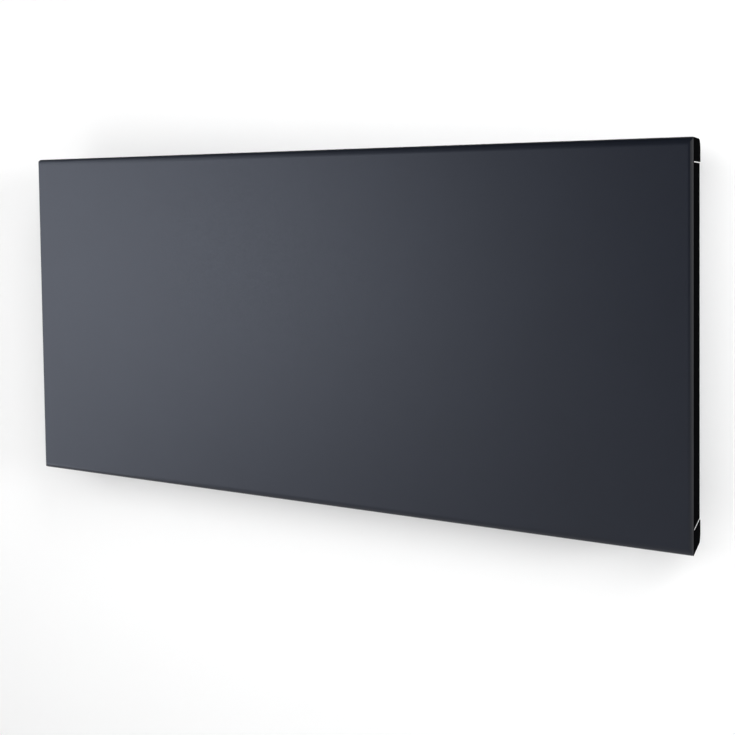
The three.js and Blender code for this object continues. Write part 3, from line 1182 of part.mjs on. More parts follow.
// Pieces of the heater
add("front_panel", frontPanel(), ANTHRACITE);
add("end_plate_right", endPlate(1), BLACK_PAINT);
add("end_plate_left", leftEndPlate(), BLACK_PAINT);
add("rear_cover", rearCover(), ZINC);
screwPlaces().forEach(([x, z], i) => add(`cover_screw_${i + 1}`, screw(x, z, COVER_Y, -1), ZINC));
add("heat_reflector", heatReflector(), ALUMINIUM);
add("heating_element", heatingElement(), ALUMINIUM);
add("element_bracket_left", elementBracket(-1), ZINC);
add("element_bracket_right", elementBracket(1), ZINC);
add("element_bush_left", elementBush(-1), CERAMIC);
add("element_bush_right", elementBush(1), CERAMIC);
rivetPlaces().forEach(([x, z], i) => add(`bracket_rivet_${i + 1}`, bracketRivet(x, z), ALUMINIUM));
add("cutout_strap", cutoutStrap(), ZINC);
add("thermal_cutout", thermalCutout(), CERAMIC);
add("terminal_block", terminalBlock(), TERMINAL_WHITE);
add("earth_screw", screw(EARTH_CENTRE_X, EARTH_CENTRE_Z, COVER_INNER_Y, 1), ZINC);
add("cable_gland", cableGland(), BLACK_PLASTIC);
add("supply_lead", supplyLead(), LEAD_BROWN);
add("live_lead", liveLead(), LEAD_BROWN);
add("neutral_lead", neutralLead(), LEAD_BLUE);
add("earth_lead", earthLead(), LEAD_GREEN);

// Controls in the left end
add("control_housing", controlHousing(), BLACK_PLASTIC);
add("control_board", controlBoard(), BOARD_GREEN);
add("control_relay", controlRelay(), TERMINAL_WHITE);
add("room_sensor", roomSensor(), BLACK_PLASTIC);
add("control_fascia", controlFascia(), BLACK_PLASTIC);
add("display_window", displayWindow(), SMOKED);
BUTTON_CENTRES.forEach((z, i) => add(BUTTON_NAMES[i], button(z), BLACK_PLASTIC));
add("switch_body", switchBody(), BLACK_PLASTIC);
add("power_rocker", powerRocker(), BLACK_PLASTIC);

// Fixed to the wall
add("wall_bracket", wallBracket(), BLACK_PAINT);

export default radiator;
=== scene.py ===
import math

import bpy
from mathutils import Matrix, Vector


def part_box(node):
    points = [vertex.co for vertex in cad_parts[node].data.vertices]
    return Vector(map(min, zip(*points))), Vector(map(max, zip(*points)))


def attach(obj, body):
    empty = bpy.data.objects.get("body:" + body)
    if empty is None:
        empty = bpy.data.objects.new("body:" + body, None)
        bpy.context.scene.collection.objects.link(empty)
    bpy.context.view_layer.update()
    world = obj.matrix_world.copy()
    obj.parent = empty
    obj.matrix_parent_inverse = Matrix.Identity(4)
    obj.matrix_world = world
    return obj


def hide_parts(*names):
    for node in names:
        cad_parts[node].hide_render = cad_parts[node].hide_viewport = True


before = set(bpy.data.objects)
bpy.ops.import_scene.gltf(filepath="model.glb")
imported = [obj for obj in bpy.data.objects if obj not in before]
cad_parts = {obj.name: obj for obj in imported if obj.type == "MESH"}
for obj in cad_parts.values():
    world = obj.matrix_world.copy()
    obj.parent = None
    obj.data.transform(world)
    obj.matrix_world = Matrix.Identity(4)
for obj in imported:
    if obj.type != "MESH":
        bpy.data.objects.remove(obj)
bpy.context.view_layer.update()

MM = 0.001
TURN = 2 * math.pi

# Room left where pieces seat and where they move, and how far a cut runs past what it cuts
SEAT_GAP, LOOSE_GAP, OVERRUN = 0.3, 0.7, 2.0
BEND_STEPS, FOLD_STEPS = 14, 6

# Whole heater
HALF_LENGTH, HALF_HEIGHT = 375.0, 185.0
FRONT_Y, REAR_Y = -80.0, -34.0

# Front panel
SHEET = 1.2
FRONT_BEND, REAR_BEND, END_BEND, CORNER = 8.0, 9.5, 4.9, 1.5
END_RETURN = 3.6
LIP_Z = 163.0
LIP_NOTCH, NOTCH_Y = 9.0, -47.0
OUTLET_WIDTH, OUTLET_LENGTH, OUTLET_CORNER = 7.0, 19.0, 1.2
OUTLET_PITCH, OUTLET_COUNT, OUTLET_Y = 16.0, 42, -59.5

# End plates
PLATE_SHEET, PLATE_TIE, JOGGLE_GAP = 0.8, 1.5, 0.4
PLATE_STEP_Y, PLATE_REAR_Y = -74.7, -39.1
PLATE_FRONT_FLANGE, PLATE_REAR_FLANGE = 16, 22
PLATE_TUCK = SHEET + 0.05
TOP_SLIT, BOTTOM_SLIT = (162.6, 163.7), (-164.0, -161.0)

# Rear cover
COVER_Y, COVER_SHEET, COVER_BEND = -38.0, 0.8, 1.6
COVER_INNER_Y = COVER_Y - COVER_SHEET
COVER_HALF_LENGTH, COVER_HALF_HEIGHT, COVER_FLANGE = 364.0, 158.0, 12.0
BEAD_LEVELS, BEAD_END_MARGIN, BEAD_HALF_WIDTH = (-42, 0, 42), 45, 5
BEAD_FOOT, BEAD_HEIGHT = 3.0, 2.0
VENT_LEVELS, VENT_PITCH, VENTS_EACH_SIDE = (146, 136, -136, -146), 62, 5
VENT_LENGTH, VENT_HEIGHT, VENT_CORNER = 52, 5, 2.45

# Screws and rivets, through the cover
SCREW_X, SCREW_LEVELS = 358.5, (-120, 0, 120)
PLATE_HOLE, COVER_HOLE, EARTH_HOLE, RIVET_HOLE = 1.75, 2.2, 1.75, 1.9
EARTH_PLACE = (-300, -30)
RIVET_PLACES = [(-270.5, -58), (-270.5, -86), (326.5, -58), (326.5, -86)]
RIVET_HEAD, ELEMENT_BRACKET_SHEET = 3.2, 1.0
GLAND_PLACE, GLAND_HOLE = (-322, -118), 7.1

# Controls in the left end
END_FACE_X = -375.3
CONTROL_Y = -58.65
FASCIA_X, FASCIA_Z, FASCIA_WIDTH, FASCIA_HEIGHT = -376.7, 86.0, 28.6, 124.0
FASCIA_FLANGE, FASCIA_LAND, FASCIA_SKIRT = 1.4, 1.8, 6
WINDOW_Z, WINDOW_WIDTH, WINDOW_HEIGHT, GLASS = 120.0, 17.0, 34.0, 1.2
BUTTONS = {"button_up": 84.0, "button_down": 64.0, "button_mode": 44.0}
SWITCH_X, SWITCH_Z, SWITCH_DEPTH = -376.9, 0.0, 15
BEZEL_WIDTH, BEZEL_HEIGHT, BEZEL_CORNER = 15.6, 23.4, 1.4
SWITCH_HALF_WIDTH, SWITCH_HALF_HEIGHT = 6.6, 10.5
POCKET_HALF_WIDTH, POCKET_HALF_HEIGHT, POCKET_DEPTH = 5.4, 9.3, 7
ROCKER_X, ROCKER_DEPTH, ROCKER_TILT = -373.7, 3.2, math.radians(7)
ROCKER_PIN, PIN_HOLE = 1.0, 1.3

# Wall bracket
BRACKET_SHEET, BRACKET_BEND = 1.5, 2.4
ARM_X, UPRIGHT_END_X, UPRIGHT_HALF_HEIGHT = 135, 165, 140
ARM_FLANGE, UPRIGHT_FLANGE = 12, 8
RAIL_HALF_HEIGHT, RAIL_FLANGE = 14, 8
WALL_HOLE_LEVELS, RAIL_HOLE_X = (-112, 112), 60
SADDLES = (-108, 108)
ARM_ROOT_Y, SADDLE_WIDTH, NOSE_WIDTH = -6.0, 3.9, 2.8
HOOK_TONGUE, HOOK_NOSE, HOOK_SLOT_WIDTH, LIFT_TRAVEL = 9, 8, 6, 10


# Mesh helpers ---------------------------------------------------------------


def obj_from(name, points, faces):
    """An object from points in millimetres."""
    mesh = bpy.data.meshes.new(name)
    mesh.from_pydata([[c * MM for c in p] for p in points], [], faces)
    mesh.validate()
    obj = bpy.data.objects.new(name, mesh)
    bpy.context.scene.collection.objects.link(obj)
    return obj


def place(axis, u, v, along):
    """A point from its outline coordinates and its place along the axis."""
    return {"x": (along, u, v), "y": (u, along, v), "z": (u, v, along)}[axis]


def loft(axis, rings, name="tool"):
    """A closed body through rings of (place along the axis, outline of n points)."""
    n = len(rings[0][1])
    points = [place(axis, u, v, along) for along, outline in rings for u, v in outline]
    faces = []
    for r in range(len(rings) - 1):
        for i in range(n):
            j = (i + 1) % n
            faces.append([r * n + i, r * n + j, (r + 1) * n + j, (r + 1) * n + i])
    last = (len(rings) - 1) * n
    faces.append(list(range(n))[::-1])
    faces.append([last + i for i in range(n)])
    obj = obj_from(name, points, faces)
    outward(obj)
    return obj


def outward(obj):
    """Turns the faces of a closed mesh outwards."""
    mesh = obj.data
    volume = 0.0
    for poly in mesh.polygons:
        corner = [mesh.vertices[i].co for i in poly.vertices]
        for k in range(1, len(corner) - 1):
            volume += corner[0].dot(corner[k].cross(corner[k + 1]))
    if volume < 0:
        mesh.flip_normals()


def prism(axis, outline, low, high, name="tool"):
    return loft(axis, [(low, outline), (high, outline)], name)


def box(low, high):
    (x0, y0, z0), (x1, y1, z1) = low, high
    return prism("z", [(x0, y0), (x1, y0), (x1, y1), (x0, y1)], z0, z1)


def arc(cu, cv, radius, start, end, steps):
    """Points of an arc, angles in quarter turns."""
    return [
        (cu + radius * math.cos(a * math.pi / 2), cv + radius * math.sin(a * math.pi / 2))
        for a in (start + (end - start) * i / steps for i in range(steps + 1))
    ]


def rounded(low, high, radii, steps=BEND_STEPS):
    """A rectangle with its own radius at each corner, anticlockwise from the low corner."""
    (u0, v0), (u1, v1) = low, high
    corners = [(u0, v0, 1, 1, 2), (u1, v0, -1, 1, 3), (u1, v1, -1, -1, 0), (u0, v1, 1, -1, 1)]
    points = []
    for (u, v, su, sv, quarter), r in zip(corners, radii):
        if r > 0:
            points += arc(u + su * r, v + sv * r, r, quarter, quarter + 1, steps)
        else:
            points.append((u, v))
    return points


def rounded_rect(cu, cv, width, height, radius, steps=8):
    return rounded(
        (cu - width / 2, cv - height / 2), (cu + width / 2, cv + height / 2), [radius] * 4, steps
    )


def circle(cu, cv, radius, sides=48):
    return [
        (cu + radius * math.cos(TURN * i / sides), cv + radius * math.sin(TURN * i / sides))
        for i in range(sides)
    ]


def lathe(axis, centre, profile, sides):
    """A profile of (radius, place along the axis) turned round. A radius of 0 is a point."""
    cu, cv = centre
    points, rows = [], []
    for radius, along in profile:
        if radius < 1e-6:
            rows.append([len(points)])
            points.append(place(axis, cu, cv, along))
        else:
            rows.append(list(range(len(points), len(points) + sides)))
            points += [place(axis, u, v, along) for u, v in circle(cu, cv, radius, sides)]
    closed = profile[0] == profile[-1]
    if closed:
        rows[-1] = rows[0]
        points = points[: len(points) - (1 if len(rows[0]) == 1 else sides)]
    faces = []
    for a, b in zip(rows, rows[1:]):
        for i in range(sides):
            j = (i + 1) % sides
            quad = [a[i % len(a)], a[j % len(a)], b[j % len(b)], b[i % len(b)]]
            face = [p for k, p in enumerate(quad) if p != quad[k - 1]]
            if len(face) > 2:
                faces.append(face)
    obj = obj_from("turned", points, faces)
    outward(obj)
    return obj


def folded(line, thickness, radius):
    """A folded sheet's outline with round bends. The sheet lies on the right of the line."""
    points = [Vector(p) for p in line]

    def side(offset):
        rows = []
        for i, p in enumerate(points):
            before = (p - points[i - 1]).normalized() if i else None
            after = (points[i + 1] - p).normalized() if i < len(points) - 1 else None
            first, second = before or after, after or before
            right_a = Vector((first.y, -first.x))
            right_b = Vector((second.y, -second.x))
            mid = (right_a + right_b) / (1 + right_a.dot(right_b))
            if before is None or after is None:
                rows.append(p + right_a * offset)
                continue
            turn = first.x * second.y - first.y * second.x
            r = radius - offset if turn < 0 else radius + offset - thickness
            corner = p + mid * offset
            if r <= 0.02:
                rows.append(corner)
                continue
            half = math.acos(max(-1, min(1, first.dot(second)))) / 2
            run = r * math.tan(half)
            a, b = corner - first * run, corner + second * run
            centre = a + (right_a if turn < 0 else -right_a) * r
            va, vb = a - centre, b - centre
            for k in range(FOLD_STEPS + 1):
                t = k / FOLD_STEPS
                w = math.sin(2 * half)
                rows.append(
                    centre
                    + va * (math.sin((1 - t) * 2 * half) / w)
                    + vb * (math.sin(t * 2 * half) / w)
                )
        return rows

    return [tuple(p) for p in side(0.0) + side(thickness)[::-1]]


def join(objs):
    """Several bodies that don't touch, as one mesh."""
    points, faces = [], []
    for o in objs:
        base = len(points)
        points += [tuple(v.co) for v in o.data.vertices]
        faces += [[base + i for i in p.vertices] for p in o.data.polygons]
        bpy.data.objects.remove(o)
    mesh = bpy.data.meshes.new("joined")
    mesh.from_pydata(points, [], faces)
    obj = bpy.data.objects.new("joined", mesh)
    bpy.context.scene.collection.objects.link(obj)
    return obj


def carve(target, tool, operation="DIFFERENCE"):
    """Cuts, joins or intersects the target with a tool, which is used up."""
    modifier = target.modifiers.new("carve", "BOOLEAN")
    modifier.solver = "MANIFOLD"
    modifier.operation = operation
    modifier.object = tool
    settle(target)
    bpy.data.objects.remove(tool)
    return target


def settle(obj):
    """Applies the object's modifiers to its mesh."""
    graph = bpy.context.evaluated_depsgraph_get()
    graph.update()
    mesh = bpy.data.meshes.new_from_object(obj.evaluated_get(graph))
    old = obj.data
    obj.modifiers.clear()
    obj.data = mesh
    bpy.data.meshes.remove(old)


def mirror_x(obj):
    obj.data.transform(Matrix.Scale(-1, 4, Vector((1, 0, 0))))
    obj.data.flip_normals()
    return obj


def finish_piece(obj, name, body, material, nodes, angle=32):
    """Names, shades and attaches a piece, and hides the CAD nodes it stands for."""
    obj.name = name
    obj.data.name = name
    obj.data.materials.clear()
    obj.data.materials.append(material)
    shade(obj, angle)
    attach(obj, body)
    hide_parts(*nodes)


def shade(obj, angle):
    """Smooth shading with sharp edges past the angle, flat over the large faces."""
    obj.data.shade_smooth()
    obj.data.set_sharp_from_angle(angle=math.radians(angle))
    normal = obj.modifiers.new("normals", "WEIGHTED_NORMAL")
    normal.keep_sharp = True
    normal.weight = 100
    settle(obj)


# Materials ------------------------------------------------------------------


class Nodes:
    """A material's node tree, with short calls for the nodes used here."""

    def __init__(self, name):
        self.material = bpy.data.materials.new(name)
        self.material.use_nodes = True
        self.tree = self.material.node_tree
        self.shader = self.tree.nodes["Principled BSDF"]
        self.place = self.add("ShaderNodeTexCoord").outputs["Object"]

    def add(self, kind, **values):
        node = self.tree.nodes.new(kind)
        for key, value in values.items():
            setattr(node, key, value)
        return node

    def link(self, a, b):
        self.tree.links.new(a, b)

    def stretched(self, x, y, z):
        node = self.add("ShaderNodeMapping")
        node.inputs["Scale"].default_value = (x, y, z)
        self.link(self.place, node.inputs["Vector"])
        return node.outputs["Vector"]

    def noise(self, scale, detail=3.0, roughness=0.5, vector=None):
        node = self.add("ShaderNodeTexNoise")
        node.inputs["Scale"].default_value = scale
        node.inputs["Detail"].default_value = detail
        node.inputs["Roughness"].default_value = roughness
        self.link(vector or self.place, node.inputs["Vector"])
        return node.outputs["Fac"]

    def range(self, value, low, high, start=0.0, end=1.0):
        node = self.add("ShaderNodeMapRange")
        node.inputs["From Min"].default_value = start
        node.inputs["From Max"].default_value = end
        node.inputs["To Min"].default_value = low
        node.inputs["To Max"].default_value = high
        self.link(value, node.inputs["Value"])
        return node.outputs["Result"]

    def ramp(self, value, stops):
        node = self.add("ShaderNodeValToRGB")
        ramp = node.color_ramp
        while len(ramp.elements) < len(stops):
            ramp.elements.new(0.5)
        for element, (at, colour) in zip(ramp.elements, stops):
            element.position = at
            element.color = (*colour, 1)
        self.link(value, node.inputs["Fac"])
        return node.outputs["Color"]

    def bump(self, height, depth, strength=1.0, after=None):
        node = self.add("ShaderNodeBump")
        node.inputs["Distance"].default_value = depth
        node.inputs["Strength"].default_value = strength
        self.link(height, node.inputs["Height"])
        if after:
            self.link(after, node.inputs["Normal"])
        return node.outputs["Normal"]

    def to(self, name, value):
        """Links an output to the shader, or sets one of its plain values."""
        socket = self.shader.inputs[name]
        if isinstance(value, bpy.types.NodeSocket):
            self.link(value, socket)
        else:
            socket.default_value = value


def shades(colour, spread):
    """A darker, the plain and a lighter tone of a colour."""
    return [tuple(c * (1 + s * spread) for c in colour) for s in (-1, 0, 1)]


def painted(name, colour, rough, specular=0.5, peel=0.00006, grain=900, spread=0.06):
    """Powder coat: fine orange peel, faint clouds of tone and a slightly uneven gloss."""
    m = Nodes(name)
    dark, mid, light = shades(colour, spread)
    clouds = m.noise(14, 7, 0.68)
    m.to("Base Color", m.ramp(clouds, [(0.3, dark), (0.5, mid), (0.72, light)]))
    m.to("Roughness", m.range(m.noise(420, 3), rough - 0.015, rough + 0.015, 0.3, 0.7))
    m.to("Specular IOR Level", specular)
    fine = m.bump(m.noise(grain * 3.2, 2), peel * 0.35, 0.8)
    m.to("Normal", m.bump(m.noise(grain, 2, 0.45), peel, 0.9, fine))
    return m.material


def zinc(name):
    """Zinc-coated steel: pale and darker crystals with a fine rolled grain."""
    m = Nodes(name)
    cells = m.add("ShaderNodeTexVoronoi")
    cells.inputs["Scale"].default_value = 95
    cells.inputs["Randomness"].default_value = 1.0
    m.link(m.stretched(1, 0.4, 0.75), cells.inputs["Vector"])
    grey = m.add("ShaderNodeRGBToBW")
    m.link(cells.outputs["Color"], grey.inputs["Color"])
    dark, mid, light = shades((0.56, 0.575, 0.59), 0.10)
    m.to("Base Color", m.ramp(grey.outputs["Val"], [(0.15, dark), (0.5, mid), (0.85, light)]))
    m.to("Metallic", 1.0)
    m.to("Roughness", m.range(grey.outputs["Val"], 0.34, 0.5, 0.2, 0.8))
    grain = m.noise(900, 2, 0.5, m.stretched(0.06, 1, 1))
    m.to("Normal", m.bump(grain, 0.00003, 0.5))
    return m.material


def plated(name):
    """Bright zinc plating on a turned screw."""
    m = Nodes(name)
    dark, mid, light = shades((0.66, 0.67, 0.69), 0.08)
    m.to("Base Color", m.ramp(m.noise(700, 3), [(0.3, dark), (0.5, mid), (0.7, light)]))
    m.to("Metallic", 1.0)
    m.to("Roughness", m.range(m.noise(1500, 2), 0.2, 0.36, 0.3, 0.7))
    m.to("Normal", m.bump(m.noise(2600, 2), 0.00002, 0.4))
    return m.material


def rolled(name):
    """Bright aluminium with the fine lines of rolling along its length."""
    m = Nodes(name)
    lines = m.noise(700, 3, 0.6, m.stretched(0.03, 1, 1))
    dark, mid, light = shades((0.80, 0.81, 0.82), 0.06)
    m.to("Base Color", m.ramp(lines, [(0.3, dark), (0.5, mid), (0.7, light)]))
    m.to("Metallic", 1.0)
    m.to("Roughness", m.range(lines, 0.24, 0.42, 0.3, 0.7))
    m.to("Normal", m.bump(lines, 0.00003, 0.5))
    return m.material


def moulded(name, colour, rough, spark=2600, depth=0.00003):
    """Moulded plastic with a fine spark texture."""
    m = Nodes(name)
    dark, mid, light = shades(colour, 0.05)
    m.to("Base Color", m.ramp(m.noise(60, 3), [(0.3, dark), (0.5, mid), (0.7, light)]))
    m.to("Roughness", m.range(m.noise(420, 3), rough - 0.06, rough + 0.06, 0.3, 0.7))
    m.to("Specular IOR Level", 0.45)
    m.to("Normal", m.bump(m.noise(spark, 2), depth, 0.7))
    return m.material


def matt_ceramic(name):
    """Unglazed ceramic, off-white and slightly grainy."""
    m = Nodes(name)
    m.to("Base Color", m.ramp(m.noise(900, 4), [
        (0.3, (0.60, 0.57, 0.49)), (0.5, (0.74, 0.71, 0.63)), (0.75, (0.80, 0.78, 0.71))]))
    m.to("Roughness", m.range(m.noise(300, 3), 0.5, 0.75, 0.3, 0.7))
    m.to("Normal", m.bump(m.noise(1800, 3), 0.00005, 0.6))
    return m.material


def board_green(name):
    """Circuit board: solder mask with slightly paler tracks under it."""
    m = Nodes(name)
    tracks = m.add("ShaderNodeTexBrick")
    tracks.inputs["Scale"].default_value = 240
    tracks.inputs["Mortar Size"].default_value = 0.035
    tracks.inputs["Color1"].default_value = (0.010, 0.085, 0.036, 1)
    tracks.inputs["Color2"].default_value = (0.012, 0.105, 0.045, 1)
    tracks.inputs["Mortar"].default_value = (0.05, 0.20, 0.09, 1)
    turned = m.add("ShaderNodeMapping")
    turned.inputs["Rotation"].default_value = (0, math.pi / 2, 0)
    m.link(m.place, turned.inputs["Vector"])
    m.link(turned.outputs["Vector"], tracks.inputs["Vector"])
    m.to("Base Color", tracks.outputs["Color"])
    m.to("Roughness", m.range(m.noise(500, 2), 0.28, 0.42, 0.3, 0.7))
    m.to("Normal", m.bump(tracks.outputs["Fac"], 0.00004, 0.6))
    return m.material


def smoked(name):
    """Dark display window, glossy, with the faintest haze of handling."""
    m = Nodes(name)
    m.to("Base Color", m.ramp(m.noise(30, 3), [
        (0.3, (0.010, 0.011, 0.013)), (0.7, (0.016, 0.017, 0.020))]))
    m.to("Roughness", m.range(m.noise(90, 4), 0.05, 0.12, 0.35, 0.7))
    m.to("Normal", m.bump(m.noise(500, 1), 0.000008, 0.3))
    m.to("Coat Weight", 0.6)
    m.to("Coat Roughness", 0.04)
    return m.material


def insulation(name, colour, stripe=None):
    """Soft PVC of an inner lead, with a second colour in bands for the earth lead."""
    m = Nodes(name)
    dark, mid, light = shades(colour, 0.08)
    tone = m.ramp(m.noise(200, 3), [(0.3, dark), (0.5, mid), (0.7, light)])
    if stripe:
        bands = m.add("ShaderNodeTexWave")
        bands.inputs["Scale"].default_value = 60
        bands.inputs["Distortion"].default_value = 0.6
        m.link(m.stretched(1, 1, 0.12), bands.inputs["Vector"])
        mix = m.add("ShaderNodeMix", data_type="RGBA")
        m.link(m.range(bands.outputs["Fac"], 0, 1, 0.45, 0.55), mix.inputs["Factor"])
        m.link(tone, mix.inputs[6])
        mix.inputs[7].default_value = (*stripe, 1)
        tone = mix.outputs[2]
    m.to("Base Color", tone)
    m.to("Roughness", m.range(m.noise(600, 2), 0.38, 0.52, 0.3, 0.7))
    m.to("Normal", m.bump(m.noise(1500, 2), 0.00002, 0.5))
    return m.material


ANTHRACITE = painted("anthracite_powder_coat", (0.0200, 0.0234, 0.0345), 0.45)
BLACK_PAINT = painted(
    "black_powder_coat", (0.0075, 0.0077, 0.0083), 0.8, 0.0, 0.00010, 1300, 0.10)
HANGER_PAINT = painted(
    "black_hanger_coat", (0.010, 0.0103, 0.0112), 0.5, 0.4, 0.00008, 1100, 0.10)
ZINC = zinc("zinc_coated_steel")
SCREW_ZINC = plated("zinc_plated_screw")
ALUMINIUM = rolled("bright_aluminium")
CERAMIC = matt_ceramic("ceramic")
WHITE_PLASTIC = moulded("white_plastic", (0.66, 0.66, 0.62), 0.45)
BLACK_PLASTIC = moulded("black_plastic", (0.014, 0.0145, 0.0165), 0.48)
KEY_PLASTIC = moulded("key_plastic", (0.020, 0.021, 0.024), 0.36, spark=3400, depth=0.00002)
BOARD = board_green("board_green")
WINDOW = smoked("smoked_window")
BROWN = insulation("brown_insulation", (0.110, 0.040, 0.016))
BLUE = insulation("blue_insulation", (0.018, 0.075, 0.34))
GREEN = insulation("green_insulation", (0.035, 0.23, 0.04), (0.62, 0.52, 0.02))

SLOT_MATERIALS = {
    "anthracite_powder_coat": ANTHRACITE,
    "black_powder_coat": BLACK_PAINT,
    "zinc_coated_steel": ZINC,
    "zinc_plated_screw": SCREW_ZINC,
    "bright_aluminium": ALUMINIUM,
    "ceramic": CERAMIC,
    "white_plastic": WHITE_PLASTIC,
    "black_plastic": BLACK_PLASTIC,
    "board_green": BOARD,
    "smoked_window": WINDOW,
    "brown_insulation": BROWN,
    "blue_insulation": BLUE,
    "green_insulation": GREEN,
}

# CAD nodes that stay, by the record's slot whose finish they take
STAYING = {
    "zinc_coated_steel": ["element_bracket_left", "element_bracket_right", "cutout_strap"],
    "bright_aluminium": ["heat_reflector", "heating_element"],
    "ceramic": ["element_bush_left", "element_bush_right", "thermal_cutout"],
    "white_plastic": ["terminal_block", "control_relay"],
    "black_plastic": ["control_housing", "room_sensor"],
    "board_green": ["control_board"],
    "brown_insulation": ["supply_lead", "live_lead"],
    "blue_insulation": ["neutral_lead"],
    "green_insulation": ["earth_lead"],
}
for slot_name, names in STAYING.items():
    for name in names:
        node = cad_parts[name]
        node.data.materials.clear()
        node.data.materials.append(SLOT_MATERIALS[slot_name])


# Front panel ----------------------------------------------------------------


def pan_section(inset):
    """The front panel's section, bent at the front and towards the lips at the rear."""
    return rounded(
        (FRONT_Y + inset, -HALF_HEIGHT + inset),
        (REAR_Y - inset, HALF_HEIGHT - inset),
        [FRONT_BEND - inset, REAR_BEND - inset, REAR_BEND - inset, FRONT_BEND - inset],
    )


def corner_prism(inset=0.0):
    """The heater's outline from the front, with its small rounded corners."""
    outline = rounded(
        (-HALF_LENGTH + inset, -HALF_HEIGHT + inset), (HALF_LENGTH - inset, HALF_HEIGHT - inset),
        [CORNER - inset] * 4)
    return prism("y", outline, FRONT_Y - OVERRUN, REAR_Y + OVERRUN)


def plan_prism(inset):
    """The heater's outline from above, with the bends of the front panel's ends."""
    plan = rounded(
        (-HALF_LENGTH + inset, FRONT_Y + inset),
        (HALF_LENGTH - inset, REAR_Y + OVERRUN),
        [END_BEND - inset, END_BEND - inset, 0, 0],
    )
    return prism("z", plan, -HALF_HEIGHT - OVERRUN, HALF_HEIGHT + OVERRUN)


def pan_solid(inset, name="tool"):
    """The heater's rounded block, less the inset all round."""
    along = prism("x", pan_section(inset), -HALF_LENGTH - OVERRUN, HALF_LENGTH + OVERRUN, name)
    carve(along, plan_prism(inset), "INTERSECT")
    return carve(along, corner_prism(inset), "INTERSECT")


def front_shell():
    shell = pan_solid(0, "front_shell")
    carve(shell, pan_solid(SHEET))
    top, rear, past = HALF_HEIGHT + OVERRUN, REAR_Y + OVERRUN, HALF_LENGTH + OVERRUN
    carve(shell, box((-past, NOTCH_Y, -LIP_Z), (past, rear, LIP_Z)))
    returned = HALF_LENGTH - SHEET - SEAT_GAP
    for side in (-1, 1):
        for inner, y in ((returned, FRONT_Y + END_RETURN), (HALF_LENGTH - LIP_NOTCH, NOTCH_Y)):
            low, high = sorted((inner * side, past * side))
            carve(shell, box((low, y, -top), (high, rear, top)))
    slots = []
    for i in range(OUTLET_COUNT):
        x = (i - (OUTLET_COUNT - 1) / 2) * OUTLET_PITCH
        outline = rounded_rect(x, OUTLET_Y, OUTLET_WIDTH, OUTLET_LENGTH, OUTLET_CORNER, 4)
        slots.append(prism("z", outline, -top, top))
    return carve(shell, join(slots))


finish_piece(front_shell(), "front_shell", "heater", ANTHRACITE,
             ["front_panel"])


# End plates -----------------------------------------------------------------


def side_plate():
    """The right plate. The left one is its mirror image with holes for the controls."""
    outer, inner = HALF_LENGTH, HALF_LENGTH - PLATE_SHEET
    past = HALF_LENGTH + OVERRUN

    # The stepped flange behind the front panel's bent end, trimmed to fit inside its bends
    joggle = outer - SHEET - JOGGLE_GAP
    flange_y = FRONT_Y + SHEET + SEAT_GAP
    rail_line = [
        (outer, PLATE_STEP_Y + PLATE_TIE),
        (outer, PLATE_STEP_Y),
        (joggle, PLATE_STEP_Y),
        (joggle, flange_y),
        (joggle - PLATE_FRONT_FLANGE, flange_y),
    ]
    rail = prism("z", folded(rail_line, PLATE_SHEET, 0), -HALF_HEIGHT, HALF_HEIGHT)
    carve(rail, prism("x", pan_section(PLATE_TUCK), -past, past), "INTERSECT")
    bend = box(
        (outer - 6, FRONT_Y - OVERRUN, -HALF_HEIGHT), (past, PLATE_STEP_Y - 0.6, HALF_HEIGHT))
    carve(bend, plan_prism(PLATE_TUCK))
    carve(rail, bend)

    # The top and bottom tongues, the middle one between the slits, and the rear screw flange
    lobes = box((inner, PLATE_STEP_Y, -HALF_HEIGHT), (outer, REAR_Y, HALF_HEIGHT))
    carve(lobes, prism("x", pan_section(0), -past, past), "INTERSECT")
    carve(lobes, corner_prism(), "INTERSECT")
    carve(lobes, box(
        (inner - OVERRUN, PLATE_STEP_Y + PLATE_TIE, BOTTOM_SLIT[0]),
        (past, REAR_Y + OVERRUN, TOP_SLIT[1])))
    middle = box((inner, PLATE_STEP_Y, BOTTOM_SLIT[1]), (outer, PLATE_REAR_Y, TOP_SLIT[0]))
    flange_half = COVER_HALF_HEIGHT - COVER_SHEET - LOOSE_GAP
    flange = box(
        (outer - PLATE_REAR_FLANGE, PLATE_REAR_Y - PLATE_SHEET, -flange_half),
        (outer, PLATE_REAR_Y, flange_half))
    for piece in (lobes, middle, flange):
        carve(rail, piece, "UNION")
    for z in SCREW_LEVELS:
        carve(rail, prism("y", circle(SCREW_X, z, PLATE_HOLE, 24),
                          PLATE_REAR_Y - PLATE_SHEET - OVERRUN, PLATE_REAR_Y + OVERRUN))
    return rail


def side_plate_left():
    plate = mirror_x(side_plate())
    low, high = -HALF_LENGTH - OVERRUN, -HALF_LENGTH + PLATE_SHEET + OVERRUN
    rim = 2 * FASCIA_FLANGE
    for z, width, height, radius in (
        (FASCIA_Z, FASCIA_WIDTH - rim, FASCIA_HEIGHT - rim, 3.6),
        (SWITCH_Z, 2 * (SWITCH_HALF_WIDTH + SEAT_GAP), 2 * (SWITCH_HALF_HEIGHT + SEAT_GAP), 0.5),
    ):
        carve(plate, prism("x", rounded_rect(CONTROL_Y, z, width, height, radius), low, high))
    return plate


finish_piece(side_plate(), "side_plate_right", "heater", BLACK_PAINT,
             ["end_plate_right"])
finish_piece(side_plate_left(), "side_plate_left", "heater", BLACK_PAINT,
             ["end_plate_left"])


# Rear cover -----------------------------------------------------------------


